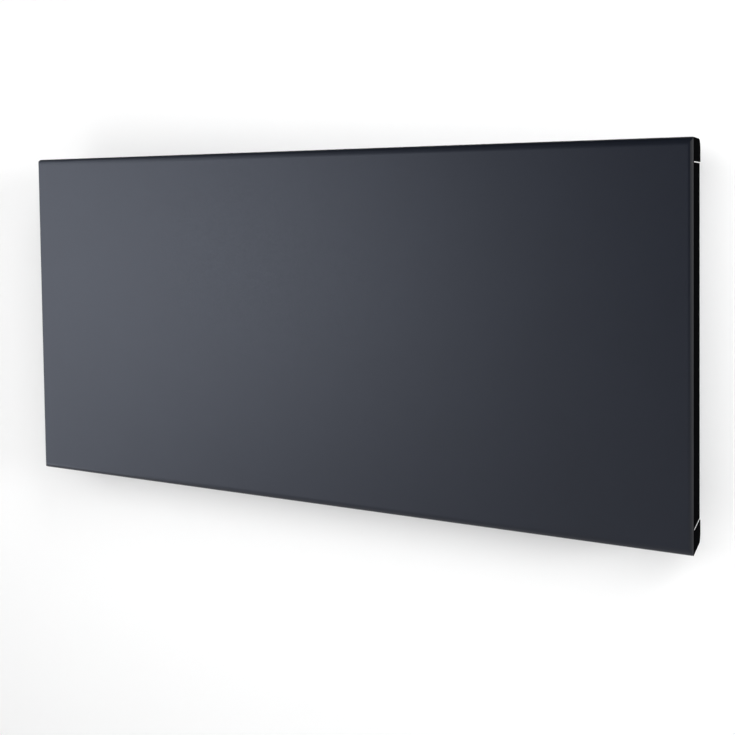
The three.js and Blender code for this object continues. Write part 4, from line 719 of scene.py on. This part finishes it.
def bead(z, inset, base):
    """A round-ended rib that swells out of the cover, as a closed body."""
    half_length = COVER_HALF_LENGTH - BEAD_END_MARGIN - inset
    half_width = BEAD_HALF_WIDTH - inset
    rings = [(base - 0.4, BEAD_FOOT + 0.2), (base, BEAD_FOOT)]
    rings += [
        (base + BEAD_HEIGHT * (1 - math.cos(math.pi * t)) / 2, BEAD_FOOT * (1 - t) ** 1.15)
        for t in (0.2, 0.35, 0.5, 0.65, 0.8, 1.0)
    ]
    return loft("y", [
        (y, rounded_rect(
            0, z, 2 * (half_length + grow), 2 * (half_width + grow), half_width + grow, 10))
        for y, grow in rings
    ])


def cover_pressing():
    line = [
        (COVER_Y - COVER_FLANGE, COVER_HALF_HEIGHT),
        (COVER_Y, COVER_HALF_HEIGHT),
        (COVER_Y, -COVER_HALF_HEIGHT),
        (COVER_Y - COVER_FLANGE, -COVER_HALF_HEIGHT),
    ]
    tray = prism("x", folded(line, COVER_SHEET, COVER_BEND), -COVER_HALF_LENGTH, COVER_HALF_LENGTH)
    for z in BEAD_LEVELS:
        carve(tray, bead(z, 0, COVER_Y), "UNION")
    for z in BEAD_LEVELS:
        carve(tray, bead(z, COVER_SHEET / 2, COVER_INNER_Y - 0.02))
    outlines = []
    for level in VENT_LEVELS:
        for i in range(-VENTS_EACH_SIDE, VENTS_EACH_SIDE + 1):
            outlines.append(
                rounded_rect(i * VENT_PITCH, level, VENT_LENGTH, VENT_HEIGHT, VENT_CORNER, 6))
    for side in (-1, 1):
        for saddle in SADDLES:
            top, bottom = saddle + SEAT_GAP, saddle - HOOK_TONGUE - LIFT_TRAVEL - LOOSE_GAP
            outlines.append(rounded_rect(
                side * (ARM_X + BRACKET_SHEET / 2), (top + bottom) / 2,
                HOOK_SLOT_WIDTH, top - bottom, 0.8, 4))
        for z in SCREW_LEVELS:
            outlines.append(circle(side * SCREW_X, z, COVER_HOLE, 24))
    for place_xz in RIVET_PLACES:
        outlines.append(circle(*place_xz, RIVET_HOLE, 20))
    outlines.append(circle(*GLAND_PLACE, GLAND_HOLE, 40))
    outlines.append(circle(*EARTH_PLACE, EARTH_HOLE, 20))
    low, high = COVER_Y - 3 * OVERRUN, COVER_Y + 2 * OVERRUN
    return carve(tray, join([prism("y", outline, low, high) for outline in outlines]))


finish_piece(cover_pressing(), "cover_pressing", "heater", ZINC,
             ["rear_cover"], 28)


# Small turned pieces --------------------------------------------------------


def screw(x, z, face, drive):
    """A pan-head screw with a cross recess. Its shank runs the way of drive."""
    shank, root, head, dome = 1.45, 1.28, 4.0, 1.5
    pitch, turns = 0.55, 7
    seat, crown = -SEAT_GAP, -2.5
    rim = seat - 0.7
    profile = [(0, 5.5), (0.5, 5.1), (shank, 4.3)]
    for i in range(turns):
        profile += [(root, 4.0 - i * pitch), (shank, 3.75 - i * pitch)]
    profile += [(shank, seat), (3.9, seat), (head, seat - 0.12), (head, rim)]
    profile += [
        (head - dome * (1 - math.cos(t * math.pi / 2)), rim - dome * math.sin(t * math.pi / 2))
        for t in (0.2, 0.4, 0.6, 0.8, 1.0)]
    profile += [(0, crown)]
    body = lathe("y", (x, z), [(r, face + drive * d) for r, d in profile], 40)

    # The cross recess: two crossed slots that narrow as they go down into the head
    half_slot, bottom_reach, top_reach = 0.42, 1.3, 2.1
    ends = sorted(
        [(face + drive * (crown + 1.4), bottom_reach), (face + drive * (crown - 1), top_reach)])
    for turned in (False, True):
        rings = []
        for y, reach in ends:
            u, v = (half_slot, reach) if turned else (reach, half_slot)
            rings.append((y, [(x - u, z - v), (x + u, z - v), (x + u, z + v), (x - u, z + v)]))
        carve(body, loft("y", rings))
    return body


screw_places = [(side * SCREW_X, z) for side in (-1, 1) for z in reversed(SCREW_LEVELS)]
for i, (x, z) in enumerate(screw_places, 1):
    finish_piece(screw(x, z, COVER_Y, -1), f"panel_screw_{i}", "heater",
                 SCREW_ZINC, [f"cover_screw_{i}"])
finish_piece(screw(*EARTH_PLACE, COVER_INNER_Y, 1), "earth_stud", "heater",
             SCREW_ZINC, ["earth_screw"])


def rivet(x, z):
    """A blind rivet: domed head outside the cover, bulb inside on the element bracket's foot."""
    seat = COVER_Y + SEAT_GAP
    tail = COVER_INNER_Y - SEAT_GAP - ELEMENT_BRACKET_SHEET - SEAT_GAP
    dome = [
        (RIVET_HEAD * math.cos(t * math.pi / 2), seat + 0.15 + 0.95 * math.sin(t * math.pi / 2))
        for t in (0, 0.2, 0.4, 0.6, 0.8)]
    return lathe("y", (x, z), [
        (0, tail - 2.4), (1.2, tail - 2.3), (2.2, tail - 1.9), (2.6, tail - 1.1), (2.6, tail),
        (1.6, tail), (1.6, seat), (3.1, seat)] + dome + [(0, seat + 1.1)], 32)


def rivet_node(x, z):
    """The name of the CAD rivet at a place."""
    for name in sorted(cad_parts):
        if name.startswith("bracket_rivet"):
            low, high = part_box(name)
            across = abs(low.x / MM + RIVET_HEAD - x)
            if across < 1.5 and abs((low.z + high.z) / 2 / MM - z) < 1:
                return name


for i, (x, z) in enumerate(RIVET_PLACES, 1):
    finish_piece(rivet(x, z), f"blind_rivet_{i}", "heater", ALUMINIUM,
                 [rivet_node(x, z)])

flange, collar = COVER_Y + SEAT_GAP, COVER_INNER_Y - SEAT_GAP
gland = lathe("y", GLAND_PLACE, [
    (4.0, collar - 4.7), (4.3, collar - 5.0), (6.5, collar - 5.0), (6.8, collar - 4.7),
    (8.5, collar), (6.8, collar), (6.8, flange), (11, flange), (11, flange + 1.3),
    (10.7, flange + 2.1), (10.1, flange + 2.75), (9.3, flange + 3.0), (6.4, flange + 3.0),
    (5.9, flange + 2.7), (4.5, flange + 2.6), (4.0, flange + 2.1), (4.0, collar - 4.7)], 64)
finish_piece(gland, "gland_bush", "heater", BLACK_PLASTIC, ["cable_gland"])


# Controls -------------------------------------------------------------------


def fascia_outline(inset, radius, steps=8):
    return rounded_rect(CONTROL_Y, FASCIA_Z, FASCIA_WIDTH - 2 * inset, FASCIA_HEIGHT - 2 * inset,
                        radius, steps)


def window_outline(inset, radius):
    return rounded_rect(CONTROL_Y, WINDOW_Z, WINDOW_WIDTH - 2 * inset, WINDOW_HEIGHT - 2 * inset,
                        radius)


def fascia():
    """The control fascia: a rounded flange, a skirt into the plate's opening and its holes."""
    edge = [(0.0, 0.9), (0.12, 0.5), (0.35, 0.2), (0.75, 0.0), (FASCIA_FLANGE, 0.0)]
    flange = loft("x", [
        (FASCIA_X + depth, fascia_outline(inset, 5 - inset, 10)) for depth, inset in edge])
    back = END_FACE_X + FASCIA_LAND
    skirt = back + FASCIA_SKIRT
    skirt_inset, skirt_wall, window_ledge = FASCIA_FLANGE + SEAT_GAP, 1.4, 1.5
    carve(flange, prism("x", fascia_outline(skirt_inset, 3.3), FASCIA_X + FASCIA_FLANGE / 2, skirt),
          "UNION")
    carve(flange, prism("x", fascia_outline(skirt_inset + skirt_wall, 1.4), back, skirt + OVERRUN))
    carve(flange, prism("x", window_outline(-SEAT_GAP, 2),
                        FASCIA_X - OVERRUN, FASCIA_X + GLASS + SEAT_GAP))
    carve(flange, prism("x", window_outline(window_ledge, 1), FASCIA_X, back + OVERRUN))
    hole, lead_in, above, below = 5.5, 6.4, 0.5, 0.35
    for z in BUTTONS.values():
        carve(flange, loft("x", [
            (FASCIA_X - above, circle(CONTROL_Y, z, lead_in, 56)),
            (FASCIA_X + below, circle(CONTROL_Y, z, hole, 56)),
            (back + OVERRUN, circle(CONTROL_Y, z, hole, 56))]))
    return flange


finish_piece(fascia(), "fascia_moulding", "heater", BLACK_PLASTIC,
             ["control_fascia"], 30)

glass = loft("x", [
    (FASCIA_X + depth, window_outline(inset, radius))
    for depth, inset, radius in ((0, 0.3, 1.4), (0.12, 0.1, 1.6), (0.3, 0, 1.7), (GLASS, 0, 1.7))])
finish_piece(glass, "display_glass", "heater", WINDOW, ["display_window"])


def key(z, symbol):
    """A round key with a dished face and a raised sign on it."""
    radius, flange_radius, flange_thickness, stem = 5.2, 6.6, 1.2, 2
    proud, sign_face, sign_root = 0.9, 0.14, 1.0
    face, flange = FASCIA_X - proud, END_FACE_X + FASCIA_LAND + SEAT_GAP
    flange_back = flange + flange_thickness
    stem_end = float(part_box("button_up")[1].x / MM)
    profile = [
        (0, face + 0.42), (2.0, face + 0.38), (3.4, face + 0.22), (4.3, face + 0.04),
        (4.65, face), (4.95, face + 0.1), (5.15, face + 0.35), (radius, face + 0.7),
        (radius, flange), (flange_radius, flange), (flange_radius, flange_back),
        (stem, flange_back), (stem, stem_end), (0, stem_end)]
    body = lathe("x", (CONTROL_Y, z), profile, 56)
    outline = [(CONTROL_Y + u, z + v) for u, v in symbol]
    return carve(body, prism("x", outline, face + sign_face, face + sign_root), "UNION")


# The keys' signs, as outlines round the key's middle
UP = [(-1.9, -1.1), (1.9, -1.1), (0, 1.9)]
DOWN = [(1.9, 1.1), (-1.9, 1.1), (0, -1.9)]
MODE = [(-1.75, -1.6), (1.75, -1.6), (1.75, 1.6), (-1.75, 1.6)]
for (name, z), symbol in zip(BUTTONS.items(), (UP, DOWN, MODE)):
    finish_piece(key(z, symbol), name.replace("button", "key"), name,
                 KEY_PLASTIC, [name])


def control_box(left, right, half_width, half_height, z=SWITCH_Z):
    """A block in the left end, centred on the controls and on a level."""
    return box((left, CONTROL_Y - half_width, z - half_height),
               (right, CONTROL_Y + half_width, z + half_height))


def switch_surround():
    """The switch's body with its rounded bezel, tags, pocket and pivot hole."""
    edge = [(0.0, 0.55), (0.1, 0.3), (0.3, 0.1), (0.6, 0.0), (1.6, 0.0)]
    bezel = loft("x", [
        (SWITCH_X + depth, rounded_rect(
            CONTROL_Y, SWITCH_Z, BEZEL_WIDTH - 2 * inset, BEZEL_HEIGHT - 2 * inset,
            BEZEL_CORNER - 0.6 * inset, 6))
        for depth, inset in edge])
    rim, end = 0.8, END_FACE_X + SWITCH_DEPTH
    carve(bezel, control_box(SWITCH_X + rim, end, SWITCH_HALF_WIDTH, SWITCH_HALF_HEIGHT), "UNION")
    tag_root, tag_length, tag_half_width, tag_half_sheet = 1.2, 8, 2.4, 0.4
    for z in (-4, 4):
        tag = control_box(end - tag_root, end + tag_length, tag_half_width, tag_half_sheet, z)
        carve(bezel, tag, "UNION")
    carve(bezel, control_box(SWITCH_X - OVERRUN, SWITCH_X + POCKET_DEPTH,
                             POCKET_HALF_WIDTH, POCKET_HALF_HEIGHT))
    reach = SWITCH_HALF_WIDTH + OVERRUN
    pivot = circle(ROCKER_X, SWITCH_Z, PIN_HOLE, 24)
    return carve(bezel, prism("y", pivot, CONTROL_Y - reach, CONTROL_Y + reach))


finish_piece(switch_surround(), "switch_surround", "heater", BLACK_PLASTIC,
             ["switch_body"], 30)


def rocker_key():
    """The rocker, dished along its face and tipped about its pin as in the CAD at rest."""
    half_length, half_width = 8, POCKET_HALF_WIDTH - SEAT_GAP
    dish, edge, shoulder, root_x, root_half = 1.0, 0.98, 0.6, 2.2, 4
    proud = -ROCKER_DEPTH - dish
    face = []
    for k in range(1 - half_length, half_length):
        t = k / half_length
        face.append((proud + dish * (1 - t * t), half_length * t))
    tip = half_length - 0.1
    outline = [(-ROCKER_DEPTH - edge, -tip)] + face + [
        (-ROCKER_DEPTH - edge, tip), (-ROCKER_DEPTH - shoulder, half_length), (0, half_length),
        (root_x, root_half), (root_x, -root_half), (0, -half_length),
        (-ROCKER_DEPTH - shoulder, -half_length)]
    cos, sin = math.cos(-ROCKER_TILT), math.sin(-ROCKER_TILT)
    tipped = [(ROCKER_X + x * cos + z * sin, SWITCH_Z - x * sin + z * cos) for x, z in outline]
    body = prism("y", tipped, CONTROL_Y - half_width, CONTROL_Y + half_width)
    reach = SWITCH_HALF_WIDTH - SEAT_GAP
    pin = circle(ROCKER_X, SWITCH_Z, ROCKER_PIN, 24)
    return carve(body, prism("y", pin, CONTROL_Y - reach, CONTROL_Y + reach), "UNION")


finish_piece(rocker_key(), "rocker_key", "power_rocker", KEY_PLASTIC,
             ["power_rocker"], 30)


# Wall bracket ---------------------------------------------------------------


def arm(side, saddle):
    """An arm off an upright, with the hook that the rear cover's slot drops over."""
    front = COVER_Y + SEAT_GAP
    back = front - SADDLE_WIDTH
    nose = back - NOSE_WIDTH
    above, below = saddle + HOOK_NOSE, saddle - HOOK_TONGUE
    ease, waist = 1.5, 0.44
    root_above, front_above, front_below, root_below = 28, 16, 14, 26
    outline = [
        (ARM_ROOT_Y, saddle + root_above), (front, saddle + front_above), (front, saddle),
        (back, saddle), (back, above),
        (nose + ease, above), (nose + waist, above - waist), (nose, above - ease),
        (nose, below + ease), (nose + waist, below + waist), (nose + ease, below),
        (front, below), (front, saddle - front_below), (ARM_ROOT_Y, saddle - root_below)]
    low, high = sorted((side * ARM_X, side * (ARM_X + BRACKET_SHEET)))
    return prism("x", outline, low, high)


def wall_hanger():
    """Two flanged uprights with their hooks, tied by a flanged rail, and the wall's holes."""
    rail_line = [
        (-RAIL_FLANGE, RAIL_HALF_HEIGHT), (0, RAIL_HALF_HEIGHT),
        (0, -RAIL_HALF_HEIGHT), (-RAIL_FLANGE, -RAIL_HALF_HEIGHT)]
    rail_half = ARM_X + BRACKET_SHEET / 2
    hanger = prism("x", folded(rail_line, BRACKET_SHEET, BRACKET_BEND), -rail_half, rail_half)
    upright_line = [
        (ARM_X, -ARM_FLANGE), (ARM_X, 0), (UPRIGHT_END_X, 0), (UPRIGHT_END_X, -UPRIGHT_FLANGE)]
    upright = folded(upright_line, BRACKET_SHEET, BRACKET_BEND)
    for side in (-1, 1):
        outline = [(side * u, v) for u, v in upright]
        carve(hanger, prism("z", outline, -UPRIGHT_HALF_HEIGHT, UPRIGHT_HALF_HEIGHT), "UNION")
        for saddle in SADDLES:
            carve(hanger, arm(side, saddle), "UNION")
    slot_width, slot_height, slot_corner, rail_hole = 12, 7, 3.45, 3.5
    holes = []
    for side in (-1, 1):
        middle = side * (ARM_X + UPRIGHT_END_X) / 2
        holes += [
            rounded_rect(middle, z, slot_width, slot_height, slot_corner)
            for z in WALL_HOLE_LEVELS]
        holes.append(circle(side * RAIL_HOLE_X, 0, rail_hole, 40))
    low, high = -3 * OVERRUN, OVERRUN
    return carve(hanger, join([prism("y", hole, low, high) for hole in holes]))


finish_piece(wall_hanger(), "wall_hanger", "bracket", HANGER_PAINT,
             ["wall_bracket"], 28)

# CAD nodes that stay are shaded smooth over their bends and round faces.
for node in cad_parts.values():
    if not node.hide_render:
        node.data.shade_smooth()
        node.data.set_sharp_from_angle(angle=math.radians(40))


# Room, light and camera -----------------------------------------------------


FLOOR_Z, WALL_Y, WALL_TOP_Z, ROOM_REACH = -0.9, 0.0005, 4, 6
DRAPE_Y, DRAPE_TOP_Z, DRAPE_LEFT_X, DRAPE_RIGHT_X, CEILING_REAR_Y = -3.0, 1.5, -3.6, 2.5, 1.5


def stage_plane(name, corners, material):
    """A piece of the room, which isn't part of the object."""
    mesh = bpy.data.meshes.new(name)
    mesh.from_pydata(corners, [], [(0, 1, 2, 3)])
    mesh.materials.append(material)
    plane = bpy.data.objects.new(name, mesh)
    bpy.context.scene.collection.objects.link(plane)
    return plane


def wall_material():
    """A white wall for the camera, clear from behind so that the heater's back can be seen."""
    material = bpy.data.materials.new("wall_white")
    material.use_nodes = True
    tree = material.node_tree
    tree.nodes.clear()
    out = tree.nodes.new("ShaderNodeOutputMaterial")
    mix = tree.nodes.new("ShaderNodeMixShader")
    clear = tree.nodes.new("ShaderNodeBsdfTransparent")
    white = tree.nodes.new("ShaderNodeBsdfDiffuse")
    white.inputs["Color"].default_value = (0.92, 0.92, 0.92, 1)
    side = tree.nodes.new("ShaderNodeNewGeometry")
    tree.links.new(side.outputs["Backfacing"], mix.inputs["Fac"])
    tree.links.new(white.outputs[0], mix.inputs[1])
    tree.links.new(clear.outputs[0], mix.inputs[2])
    tree.links.new(mix.outputs[0], out.inputs["Surface"])
    return material


def floor_material():
    """A pale floor that glows a little, for the light that rises from a studio's floor."""
    m = Nodes("floor_pale")
    m.to("Base Color", m.ramp(m.noise(6, 4), [
        (0.3, (0.78, 0.78, 0.78)), (0.7, (0.84, 0.84, 0.84))]))
    m.to("Roughness", 0.8)
    m.to("Emission Color", (1, 1, 1, 1))
    m.to("Emission Strength", 0.30)
    return m.material


def drape_material():
    """Black cloth that keeps the studio dark in front of the heater and above it."""
    m = Nodes("drape_black")
    m.to("Base Color", m.ramp(m.noise(9, 4), [
        (0.3, (0.010, 0.010, 0.010)), (0.7, (0.016, 0.016, 0.016))]))
    m.to("Roughness", 0.95)
    m.to("Specular IOR Level", 0.0)
    return m.material


wall = stage_plane("wall", [
    (-ROOM_REACH, WALL_Y, FLOOR_Z), (ROOM_REACH, WALL_Y, FLOOR_Z),
    (ROOM_REACH, WALL_Y, WALL_TOP_Z), (-ROOM_REACH, WALL_Y, WALL_TOP_Z)], wall_material())
for ray in ("diffuse", "glossy", "transmission", "shadow"):
    setattr(wall, f"visible_{ray}", False)
floor = stage_plane("floor", [
    (-ROOM_REACH, -ROOM_REACH, FLOOR_Z), (ROOM_REACH, -ROOM_REACH, FLOOR_Z),
    (ROOM_REACH, ROOM_REACH, FLOOR_Z), (-ROOM_REACH, ROOM_REACH, FLOOR_Z)], floor_material())


def area_light(name, where, aim, size, power, colour=(1, 1, 1), only=(), without=()):
    """A lamp that lights everything, or only some of the room, or all but some of it."""
    data = bpy.data.lights.new(name, "AREA")
    data.shape = "RECTANGLE"
    data.size, data.size_y = size
    data.energy = power
    data.color = colour
    lamp = bpy.data.objects.new(name, data)
    lamp.location = where
    lamp.rotation_euler = (Vector(aim) - Vector(where)).to_track_quat("-Z", "Y").to_euler()
    bpy.context.scene.collection.objects.link(lamp)
    lamp.visible_camera = False
    if only or without:
        group = bpy.data.collections.new(name + "_lit")
        for o in (*only, *without):
            group.objects.link(o)
        for row in group.collection_objects:
            row.light_linking.link_state = "INCLUDE" if only else "EXCLUDE"
        lamp.light_linking.receiver_collection = group


drape = stage_plane("drape", [
    (DRAPE_LEFT_X, DRAPE_Y, FLOOR_Z), (DRAPE_RIGHT_X, DRAPE_Y, FLOOR_Z),
    (DRAPE_RIGHT_X, DRAPE_Y, DRAPE_TOP_Z), (DRAPE_LEFT_X, DRAPE_Y, DRAPE_TOP_Z)],
    drape_material())
top_drape = stage_plane("top_drape", [
    (DRAPE_LEFT_X, DRAPE_Y, DRAPE_TOP_Z), (-DRAPE_LEFT_X, DRAPE_Y, DRAPE_TOP_Z),
    (-DRAPE_LEFT_X, CEILING_REAR_Y, DRAPE_TOP_Z), (DRAPE_LEFT_X, CEILING_REAR_Y, DRAPE_TOP_Z)],
    drape_material())
for cloth in (drape, top_drape):
    cloth.visible_camera = False
    cloth.visible_shadow = False

COOL = (0.90, 0.97, 1.13)
# The heater's lamps: name, middle of the lamp, aim, width and height, power
HEATER_LAMPS = [
    ("key_left", (-1.8, -2.3, -0.08), (-0.1, -0.08, 0.0), (1.9, 1.3), 33),
    ("edge_high", (-1.6, -0.72, 1.1), (-0.2, -0.08, 0.15), (1.0, 1.5), 11),
    ("edge_low", (-1.25, -0.40, -0.86), (-0.2, -0.08, -0.15), (0.9, 0.8), 4.8),
]
for name, where, aim, size, power in HEATER_LAMPS:
    area_light(name, where, aim, size, power, COOL, without=[wall, floor])
# The wall's own lamps, a metre square: middle of the lamp and power
WALL_LAMPS = [
    ((-3.5, -1.5, 0.1), 51.0), ((-0.5, -1.5, 0.6), 7.3), ((0.5, -1.5, 0.6), 10.7),
    ((1.5, -1.5, 1.6), 24.4), ((1.5, -1.5, 2.6), 16.2), ((3.5, -1.5, 0.6), 138.0),
    ((-0.5, -0.8, -0.4), 2.2), ((0.5, -0.8, -0.4), 1.1),
]
for i, ((x, y, z), power) in enumerate(WALL_LAMPS, 1):
    area_light(f"wall_lamp_{i}", (x, y, z), (x, 0, z), (1, 1), power, only=[wall])


def studio_world():
    """White for the camera and in mirrors and glass, a little dimmer as light on the heater."""
    world = bpy.data.worlds.new("studio")
    world.use_nodes = True
    tree = world.node_tree
    tree.nodes.clear()
    out = tree.nodes.new("ShaderNodeOutputWorld")
    rays = tree.nodes.new("ShaderNodeLightPath")
    seen = rays.outputs["Is Camera Ray"]
    for kind in ("Is Glossy Ray", "Is Transmission Ray"):
        either = tree.nodes.new("ShaderNodeMath")
        either.operation = "MAXIMUM"
        tree.links.new(seen, either.inputs[0])
        tree.links.new(rays.outputs[kind], either.inputs[1])
        seen = either.outputs[0]
    soft = tree.nodes.new("ShaderNodeBackground")
    soft.inputs["Strength"].default_value = 0.6
    white = tree.nodes.new("ShaderNodeBackground")
    white.inputs["Strength"].default_value = 1.0
    for shader in (soft, white):
        shader.inputs["Color"].default_value = (1, 1, 1, 1)
    mix = tree.nodes.new("ShaderNodeMixShader")
    tree.links.new(seen, mix.inputs["Fac"])
    tree.links.new(soft.outputs[0], mix.inputs[1])
    tree.links.new(white.outputs[0], mix.inputs[2])
    tree.links.new(mix.outputs[0], out.inputs["Surface"])
    bpy.context.scene.world = world


studio_world()


# The photo's camera, fitted to the heater's corners: place, yaw, pitch and roll, and lens
CAMERA_PLACE, CAMERA_TURNS = (0.5026, -0.9882, 0.1367), (25.92, 2.21, -0.73)
CAMERA_LENS, CAMERA_SENSOR, CAMERA_SHIFT_Y, CAMERA_CLIP = 49.34, 36, -0.1803, 0.05


def photo_camera():
    yaw, pitch, roll = (math.radians(turn) for turn in CAMERA_TURNS)
    level = math.cos(pitch)
    forward = Vector((-math.sin(yaw) * level, math.cos(yaw) * level, -math.sin(pitch)))
    flat = Vector((math.cos(yaw), math.sin(yaw), 0))
    high = flat.cross(forward)
    right = flat * math.cos(roll) + high * math.sin(roll)
    up = high * math.cos(roll) - flat * math.sin(roll)
    data = bpy.data.cameras.new("photo_camera")
    data.lens, data.sensor_width = CAMERA_LENS, CAMERA_SENSOR
    data.shift_y, data.clip_start = CAMERA_SHIFT_Y, CAMERA_CLIP
    camera = bpy.data.objects.new("photo_camera", data)
    pose = Matrix((right, up, -forward)).transposed().to_4x4()
    pose.translation = Vector(CAMERA_PLACE)
    camera.matrix_world = pose
    bpy.context.scene.collection.objects.link(camera)
    bpy.context.scene.camera = camera


photo_camera()
bpy.context.scene.view_settings.view_transform = "Standard"
